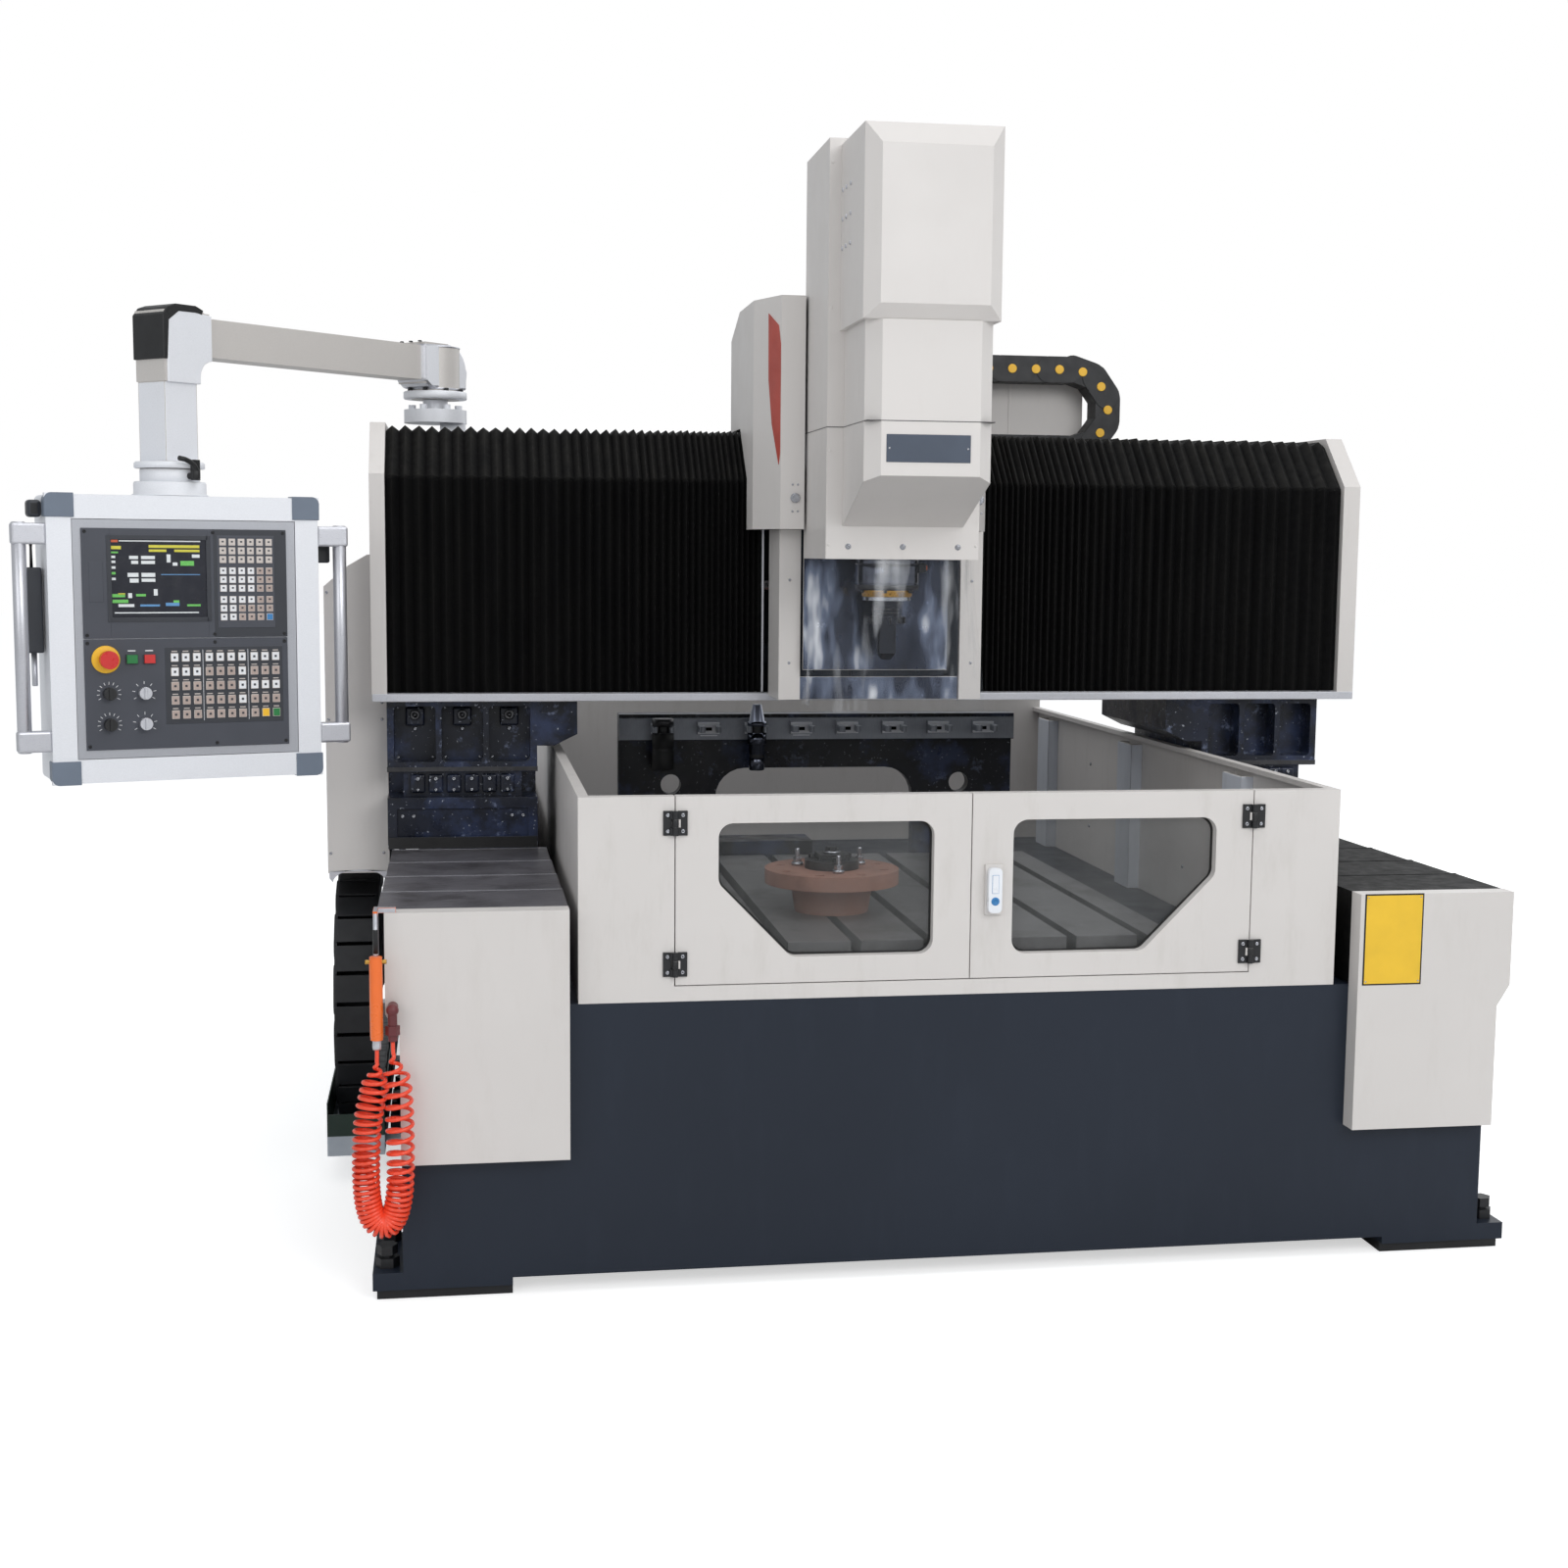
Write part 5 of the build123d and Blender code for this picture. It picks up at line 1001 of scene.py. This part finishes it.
b = Build(pendant_matrix)
for x, s in ((bx0, -1), (bx1, 1)):
    out = x + s * 52
    b.turned((out, by0 + 18), [(pz0 + 66, 12), (pz0 + 68, 14.6), (pz1 - 60, 14.6),
                               (pz1 - 58, 12)], silver, 28)
    for z in (pz0 + 68, pz1 - 104):
        a, c = sorted((x - s * 1, out + s * 16))
        b.box(a, c, by0 + 2, by0 + 34, z, z + 44, silver, 5, 3)
ride(b, "handle_sleeves", "pendant")

b = Build(pendant_matrix)
b.box(bx0 - 40, bx0 - 4, by0 + 44, by0 + 88, pz1 - 330, pz1 - 152, panel_dark, 4, 3)
b.turned((bx0 - 22, by0 + 66), [(pz1 - 152, 3.4), (pz1 - 110, 2.6), (pz1 - 104, 3.4)],
         black_plastic, 14)
b.turned((bx0 - 22, by0 + 66), [(pz1 - 400, 5), (pz1 - 398, 6), (pz1 - 330, 6)], silver, 16)
b.box(bx0 - 30, bx0 - 2, by0 + 40, by0 + 80, pz1 - 48, pz1 - 12, iron, 7, 3)
b.box(bx1 + 2, bx1 + 40, by0 + 50, by0 + 92, pz1 - 140, pz1 - 82, iron, 5, 3)
ride(b, "side_fittings", "pendant")

# turned hub above the box
b = Build(pendant_matrix)
b.turned((0, 0), [(pz1 + 0.5, 80), (pz1 + 3, 80), (pz1 + 5, 75.6), (pz1 + 27, 75.6),
                  (pz1 + 31, 73)], alu_white, 48)
b.turned((0, 0), [(pz1 + 27, 60), (pz1 + 30, 62), (pz1 + 56, 62), (pz1 + 58, 60)], alu_white, 48)
ride(b, "turning_hub", "pendant")

# curved handle of the clamp lever
b = Build(pendant_matrix @ Matrix.Rotation(radians(-60), 4, "Z"))
lever = [(72, 0, 1634), (80, 0, 1637), (86, -2, 1647), (86, -8, 1656), (85, -18, 1663),
         (84, -32, 1668), (83, -46, 1670)]
b.tube(lever, 5.4, black_plastic, 12)
b.lathe(82, 0, 1634, [(-8, 7), (-5, 9), (12, 9), (16, 6)], black_plastic, "z", 20)
ride(b, "lever_grip", "lever_body")

# Arm details
# the arm lies along its own x axis, from the post to the elbow L away
L = hypot(559, 593)
arm_matrix = Matrix.Translation((-1029, 1190, 0)) @ Matrix.Rotation(atan2(-593, -559), 4, "Z")
b = Build(arm_matrix)
cap = [(L + 48, 1878), (L + 48, 1970), (L + 34, 1987), (L + 14, 1994), (L - 40, 1994),
       (L - 60, 1986), (L - 56, 1976), (L - 40, 1981), (L + 6, 1981), (L + 34, 1960),
       (L + 37, 1878)]
b.prism(cap, "y", -49.5, 49.5, black_plastic, 1.5)
ride(b, "elbow_cover", "arm")
# pale casting under the cover, rounded where the drop tube meets the arm
b = Build(arm_matrix)
cheek = [(L + 37, 1830), (L + 37, 1958), (L + 6, 1980), (L - 40, 1980), (L - 82, 1976),
         (L - 82, 1880)]
for k in range(6):
    a = radians(90 - 90 * k / 5)
    cheek.append((L - 76 + 26 * cos(a), 1854 + 26 * sin(a)))
cheek.append((L - 50, 1830))
b.prism(cheek, "y", -48.8, 48.8, alu_white, 2)
b.box(L - 43, L + 43, -43, 43, 1664, 1832, alu_white, 3)
ride(b, "elbow_casting", "arm")
b = Build(arm_matrix)
for z in (1872, 1972):
    b.lathe(0, 0, z, [(-2, 60.4), (-1, 61.2), (1, 61.2), (2, 60.4)], silver, "z", 48)
b.turned((L, 0), [(1650, 71), (1651.5, 73.5), (1661, 73.5), (1664, 70)], alu_white, 48)
elbow = [(84, 1888), (84, 1976)]
for k in range(9):
    a = radians(90 + 90 * k / 8)
    elbow.append((-4 + 58 * cos(a), 1916 + 62 * sin(a)))
elbow += [(-62, 1872), (62, 1872)]
b.prism(elbow, "y", -48, 48, alu_white, 8)
b.turned((0, 0), [(1848, 75), (1850, 77), (1864, 77), (1866, 75)], alu_white, 48)
for spot in around((0, 0), 66, 8, 22.5):
    b.turned(spot, [(1866, 6), (1872, 6), (1873, 5)], iron, 6, False)
for y in (-30, 0, 30):
    b.screw(82, y, 1980.5, 5, 3, iron, "z")
ride(b, "arm_rings", "arm")

# Head and saddle details
b = Build()
b.box(-122, 53, 104.6, 107.4, 1667, 1723, plate_navy, 0.8)
for x in (-116, 47):
    b.screw(x, 104.8, 1695, 2.4, 1.2)
ride(b, "head_name_plate_blank", "head")

b = Build()
for x in (-150, -30, 92):
    b.lathe(x, 360, 1497, [(0, 6.5), (-0.8, 6.5), (-1.3, 5.8)], steel, "y", 20)
    b.screw(x, 359.2, 1497, 4, 3)
for z in (2240, 2180, 2120):
    for y in (252, 300, 340):
        b.lathe(-173, y, z, [(0.4, 5.2), (-1.6, 4.8), (-3.0, 2.8)], silver, "x", 14)
# seam between the upper and lower covers of the head
b.box(-199.6, 139.6, 359.3, 645.6, 1749.2, 1750.8, dark_steel)
b.box(-163.4, 103.4, 105.6, 360, 1749.2, 1750.8, dark_steel)
ride(b, "head_screws_and_seam", "head")

# rivets down both edges of the head box
b = Build()
for x in (-192, 132):
    for z in (1500, 1700, 2000, 2300):
        b.lathe(x, 360.6, z, [(0.2, 3.5), (-1.2, 3.2), (-1.8, 2.2)], beige_head, "y", 12)
ride(b, "head_rivets", "head")

# red stripe on the left side of the saddle cover
b = Build()
along = Vector((-46, 120, 0)).normalized()
inward = Vector((along.y, -along.x, 0))
bevel_turn = Matrix((along, inward, (0, 0, 1))).transposed().to_4x4()
b.matrix = Matrix.Translation((-260, 604, 0)) @ bevel_turn
stripe = [(58, 2018), (12, 1988), (2, 1945), (2, 1706), (8, 1679), (40, 1770), (56, 1870)]
b.prism(stripe, "y", -1.4, 0.3, stripe_red, 0.3)
ride(b, "saddle_stripe", "saddle")

# latches of the saddle covers
b = Build()
for x in (-226, 200):
    b.lathe(x, 604, 1605, [(0, 11), (-4.5, 11), (-6, 9.5)], steel, "y")
    for z in (1575, 1635):
        for dx in (-6, 6):
            b.screw(x + dx, 604, z, 2.6, 1.6)
for x in (-228, 201):
    for z in (1230, 1420):
        b.screw(x, 660, z, 3.4, 2.0)
ride(b, "saddle_latches", "saddle")

# polished splash plate behind the film
b = Build()
b.box(-199, 139, 638, 639.4, 1216, 1469, splash, 0.4)
ride(b, "splash_plate_face", "head")

# the same sheet along the foot of the lower covers
b = Build()
b.box(-201, 173, 668.2, 669.8, 1146, 1197, splash, 0.3)
ride(b, "lower_splash_face", "saddle")

# spindle: rings, coolant ring and side fitting
b = Build()
b.turned(SPINDLE, [(1401, 66), (1402.5, 71.5), (1412, 71.5), (1413, 70.8)], dark_steel, 56)
b.turned(SPINDLE, [(1416, 71.2), (1418, 71.8), (1458, 71.8), (1460, 71.2)], polished, 56)
b.turned(SPINDLE, [(1386, 54.4), (1388, 56.5), (1398, 56.5), (1401, 60)], brass, 48)
for spot in around(SPINDLE, 62, 6, 15):
    b.turned(spot, [(1395, 4), (1400, 4.5), (1402, 4.5)], iron, 12)
b.box(36, 54, 490, 516, 1440, 1462, black_plastic, 3)
b.box(52, 58, 496, 510, 1445, 1457, orange, 1.5)
ride(b, "spindle_rings", "head")

b = Build()
for z in (1348, 1356, 1364):
    b.turned(SPINDLE, [(z, 26.2), (z + 1, 27.4), (z + 3, 27.4), (z + 4, 26.2)], dark_steel, 36)
for spot in around(SPINDLE, 42, 12):
    b.turned(spot, [(1328, 2.6), (1340, 2.6)], iron, 8)
# cutter under the holder
b.turned(SPINDLE, [(1247, 12), (1262, 20.5), (1325, 21.5)], tool_dark, 28)
ride(b, "collet_rings", "spindle")

# Guard and doors
b = Build()
for x, s in ((-749, 1), (828, -1)):
    for y in (525, 1305, 2084):
        x0, x1 = sorted((x, x + s * 31.2))
        b.box(x0, x1, y - 56.2, y - 53.8, 591, 977.5, white, 0.6)
        b.box(x0, x1, y + 53.8, y + 56.2, 591, 977.5, white, 0.6)
        a, c = sorted((x + s * 29, x + s * 31.4))
        b.box(a, c, y - 56.2, y + 56.2, 591, 977.5, white, 0.6)
ride(b, "guard_post_faces", "root")

b = Build()
for x, s in ((-749, 1), (828, -1)):
    for y in (250, 915, 1695):
        for z in (700, 880):
            b.lathe(x, y, z, [(-0.2 * s, 5), (s * 2, 4.6), (s * 3, 3)], steel, "x", 14)
ride(b, "guard_bolts", "root")


def gasket(name, points, body):
    # thin black seal round a window, on the inside of its edge
    b = Build()
    n = len(points)
    loop = []
    r, lip = 30.0, 5.0
    for i in range(n):
        p0, p1, p2 = (Vector(points[i - 1]), Vector(points[i]), Vector(points[(i + 1) % n]))
        d0, d1 = (p0 - p1).normalized(), (p2 - p1).normalized()
        half = d0.angle(d1) / 2
        back = r / tan(half)
        centre = p1 + (d0 + d1).normalized() * (r / sin(half))
        a, c = p1 + d0 * back, p1 + d1 * back
        for k in range(7):
            v = (a - centre).lerp(c - centre, k / 6).normalized() * r
            loop.append(centre + v)
    m = len(loop)
    mid = Vector((sum(p.x for p in loop) / m, sum(p.y for p in loop) / m))
    verts, faces = [], []
    for y in (22.0, 23.8):
        for k in (0, 1):
            for p in loop:
                q = p + (mid - p).normalized() * lip * k
                verts.append((q.x, y, q.y))
    for i in range(m):
        j = (i + 1) % m
        faces += [(i, j, m + j, m + i), (2 * m + i, 3 * m + i, 3 * m + j, 2 * m + j),
                  (i, 2 * m + i, 2 * m + j, j), (m + i, m + j, 3 * m + j, 3 * m + i)]
    b.add(verts, faces, rubber)
    ride(b, name, body)


gasket("left_window_seal", [(-473, 948), (-34, 948), (-34, 676), (-326, 676), (-473, 827)],
       "left_door_body")
gasket("right_window_seal", [(131, 948), (563, 948), (563, 828), (409, 672), (131, 672)],
       "right_door_body")

for body, x, s in (("left_door_body", -560, 1), ("right_door_body", 642, -1)):
    b = Build()
    c = Build()
    for z in (950, 666):
        x0, x1 = sorted((x + s * 5, x + s * 24.4))
        b.box(x0, x1, -5.0, -0.2, z - 24.8, z + 24.8, iron, 0.8)
        b.lathe(x, -8, z, [(-7.9, 6.1), (-7.4, 6.5), (7.4, 6.5), (7.9, 6.1)], iron, "z", 20)
        for dz in (-16, 16):
            b.screw(x + s * 15, -4, z + dz, 4.2, 2.2)
            c.screw(x - s * 15, -4, z + dz, 4.2, 2.2)
    ride(b, body.replace("_body", "_hinge_screws"), body)
    ride(c, body.replace("_door_body", "_post_hinge_screws"), "root")

b = Build()
b.lathe(90, -17.2, 784, [(0, 8.5), (-3.4, 8.5), (-4.2, 7.4), (-4.2, 4.2), (-3.0, 4.0),
                         (-3.0, 0.01)], blue, "y", 28)
b.box(83, 97, -20.9, -19.6, 800, 838, white_plastic, 3.5, 3)
ride(b, "handle_lock", "handle_body")

# bare colour field where the right front box has its yellow plate
b = Build()
b.box(874, 1004, -45.6, -44.8, 596, 789, rubber, 0.3)
b.box(877, 1001, -46.4, -45.2, 599, 786, plate_yellow, 0.4)
for x in (881, 997):
    for z in (604, 781):
        b.screw(x, -46.2, z, 1.8, 0.9)
ride(b, "yellow_plate_blank", "root")

# Rack details
b = Build()
bar = [(1408.4, 984), (1408.4, 1040), (1414, 1049), (1436, 1053.2), (1436, 1050), (1410, 1046),
       (1410, 984)]
b.prism(bar, "x", -560, 516, rack_grey)
ride(b, "rack_bar_face", "root")
b = Build()
for k in range(8):
    x = -448 + 125 * k
    b.box(x - 29, x + 29, 1393.2, 1396.4, 1001, 1031, alu_white, 0.8)
    b.box(x - 9, x + 9, 1392.6, 1394, 1009, 1019, black_sheet, 0.6)
    for dx in (-22, 22):
        b.screw(x + dx, 1393.8, 1016, 3.4, 2)
for x in (-321, -71):
    b.box(x - 23, x + 23, 1407.2, 1408.8, 994, 1024, silver, 0.6)
ride(b, "rack_clip_plates", "root")
b = Build()
b.turned(STORED_HOLDER, [(906, 17), (908, 20.6), (940, 20.6), (942, 19), (948, 19), (950, 21.5),
                         (975, 21.5), (977, 25.6), (1007, 25.6)], polished, 36)
b.turned(STORED_HOLDER, [(1024, 25.6), (1036, 25.6), (1037, 21.4), (1080.5, 12.3), (1082, 9)],
         polished, 36)
ride(b, "stored_holder_shine", "root")
b = Build()
b.turned(STORED_PROBE, [(910, 26), (912, 28.6), (960, 28.6), (962, 27), (966, 27),
                        (968, 28.6), (1007, 28.6)], rubber, 36)
b.turned(STORED_PROBE, [(1024, 28.6), (1043, 28.6), (1045, 26)], dark_steel, 36)
ride(b, "stored_probe_sleeve", "root")

# Workpiece bolts
b = Build()
for spot in around(WORK, 84, 3, 30):
    b.turned(spot, [(768, 13), (772, 14), (776, 13)], steel, 20)
    b.turned(spot, [(776, 10), (786, 10), (788, 5.4), (806, 5.4), (808, 4.4)], steel, 6, False)
b.turned(WORK, [(802, 20), (806, 20), (808, 18)], steel, 30)
ride(b, "clamp_studs", "root")

# Column details
for name, lo, hi, pockets in (("left_column_bosses", -1146, -797, 3),
                              ("right_column_bosses", 850, 1149, 0)):
    b = Build()
    wide = (hi - lo - 60) / 3
    for k in range(pockets):
        a = lo + 16 + k * (wide + 14)
        mid = a + wide / 2
        b.box(mid - 22, mid + 22, 905, 926, 1068, 1112, navy_cast, 5, 3)
        b.lathe(mid, 905, 1094, [(0, 12), (-5, 12), (-6, 10), (-6, 5), (-1, 4.6), (-1, 0.01)],
                dark_steel, "y", 20)
        b.screw(mid, 925, 1060, 5, 5)
        for dx in (-wide / 2 + 8, wide / 2 - 8):
            for z in (992, 1110):
                b.screw(mid + dx, 925, z, 3.2, 3)
    for k in range(6):
        x = lo + 70 + k * (hi - lo - 140) / 5
        b.box(x - 17, x + 17, 868, 882, 912, 956, navy_cast, 5, 3)
        b.screw(x, 868.4, 946, 5, 5)
        b.screw(x, 868.4, 920, 4, 4)
    for x in (lo + 34, lo + 60, hi - 60, hi - 34):
        b.screw(x, 850, 860, 4.5, 3)
    # dark strip along the foot of the column, over the gap above the way cover
    b.box(lo + 1, hi - 1, 835.5, 839.8, 784.2, 812, rubber, 0.8)
    # worn edge of the shelf under the pockets
    b.box(lo - 1, hi + 1, 863, 866.4, 962.6, 975, dark_steel, 1)
    ride(b, name, "gantry")

# bright strip under the bellows and its dark gutter
b = Build()
b.box(-1177, 1221, 818.6, 821, 1131.6, 1149.4, silver, 0.8)
b.box(-1143, 1180, 820.5, 838, 1148.8, 1151.4, iron, 0.5)
ride(b, "bellows_rail_face", "gantry")

# bellows clamping strips beside the saddle
b = Build()
for x0, x1 in ((-268, -263), (257, 262)):
    b.box(x0, x1, 824, 840, 1152, 1646, silver, 0.8)
ride(b, "bellows_end_strips", "saddle")

# Cable cover seams, bolts
b = Build()
for x in (300, 455):
    b.box(x - 1.4, x + 4.4, 1302.6, 1304.6, 1712, 1964, beige, 0.4)
ride(b, "chain_cover_seams", "gantry")

b = Build()
# arch of the opening where the chain enters the side cover
arch = [(-1288, 700), (-1288, 716), (-1148, 716), (-1148, 700), (-1156, 700)]
for k in range(12, -1, -1):
    a = radians(180 - 180 * k / 12)
    arch.append((-1218 + 62 * cos(a), 690 + 30 * sin(a)))
b.prism(arch, "y", 948, 951, silver)
for z in (760, 1080, 1380):
    b.screw(-1284, 950, z, 3.6, 2)
    b.screw(-1160, 950, z if z < 1100 else 1120, 3.6, 2)
ride(b, "side_cover_edge", "gantry")


# Stage and light
def seen_directly(tree):
    # 1 for rays from the camera, also through the windows
    path = tree.nodes.new("ShaderNodeLightPath")
    seen = tree.nodes.new("ShaderNodeMath")
    seen.operation = "MAXIMUM"
    tree.links.new(path.outputs["Is Camera Ray"], seen.inputs[0])
    tree.links.new(path.outputs["Is Transmission Ray"], seen.inputs[1])
    return seen.outputs[0]


def stage_floor():
    me = bpy.data.meshes.new("floor")
    reach = 40
    me.from_pydata([(-reach, -reach, 0), (reach, -reach, 0), (reach, reach, 0),
                    (-reach, reach, 0)], [], [(0, 1, 2, 3)])
    ob = bpy.data.objects.new("floor", me)
    scene.collection.objects.link(ob)
    m = bpy.data.materials.new("floor_white")
    m.use_nodes = True
    t = m.node_tree
    t.nodes.clear()
    out = t.nodes.new("ShaderNodeOutputMaterial")
    diff = t.nodes.new("ShaderNodeBsdfDiffuse")
    diff.inputs[0].default_value = (0.80, 0.80, 0.80, 1)
    noise = t.nodes.new("ShaderNodeTexNoise")
    noise.inputs["Scale"].default_value = 0.6
    ramp = t.nodes.new("ShaderNodeValToRGB")
    ramp.color_ramp.elements[0].color = (0.79, 0.79, 0.79, 1)
    ramp.color_ramp.elements[1].color = (0.81, 0.81, 0.81, 1)
    t.links.new(noise.outputs["Fac"], ramp.inputs["Fac"])
    t.links.new(ramp.outputs["Color"], diff.inputs[0])
    glow = t.nodes.new("ShaderNodeEmission")
    scale = t.nodes.new("ShaderNodeMath")
    scale.operation = "MULTIPLY"
    scale.inputs[1].default_value = 0.57
    t.links.new(seen_directly(t), scale.inputs[0])
    t.links.new(scale.outputs[0], glow.inputs["Strength"])
    add = t.nodes.new("ShaderNodeAddShader")
    t.links.new(diff.outputs[0], add.inputs[0])
    t.links.new(glow.outputs[0], add.inputs[1])
    t.links.new(add.outputs[0], out.inputs[0])
    me.materials.append(m)


stage_floor()

world = bpy.data.worlds.new("world")
scene.world = world
world.use_nodes = True
wt = world.node_tree
wt.nodes.clear()
w_out = wt.nodes.new("ShaderNodeOutputWorld")
soft = wt.nodes.new("ShaderNodeBackground")
soft.inputs[0].default_value = (0.95, 0.975, 1.0, 1)
soft.inputs[1].default_value = 0.56
seen_white = wt.nodes.new("ShaderNodeBackground")
seen_white.inputs[0].default_value = (1, 1, 1, 1)
seen_white.inputs[1].default_value = 1.0
w_mix = wt.nodes.new("ShaderNodeMixShader")
wt.links.new(seen_directly(wt), w_mix.inputs[0])
wt.links.new(soft.outputs[0], w_mix.inputs[1])
wt.links.new(seen_white.outputs[0], w_mix.inputs[2])
wt.links.new(w_mix.outputs[0], w_out.inputs[0])


def lamp(name, spot, target, size, watts):
    data = bpy.data.lights.new(name, "AREA")
    data.shape = "RECTANGLE"
    data.size, data.size_y = size
    data.energy = watts
    ob = bpy.data.objects.new(name, data)
    scene.collection.objects.link(ob)
    ob.location = spot
    aim = Vector(target) - Vector(spot)
    ob.rotation_mode = "QUATERNION"
    ob.rotation_quaternion = aim.to_track_quat("-Z", "Y")


lamp("key", (2.4, -7.0, 4.2), (0, 0, 1.0), (5, 3), 170)
lamp("fill", (-4.5, -6.0, 3.2), (-0.3, 0, 1.0), (4, 3), 60)
lamp("top", (0.3, -0.6, 6.5), (0, 0, 0.8), (6, 6), 130)
lamp("rim", (5.0, 4.0, 4.0), (0, 0, 1.2), (4, 4), 60)

scene.view_settings.view_transform = "Standard"
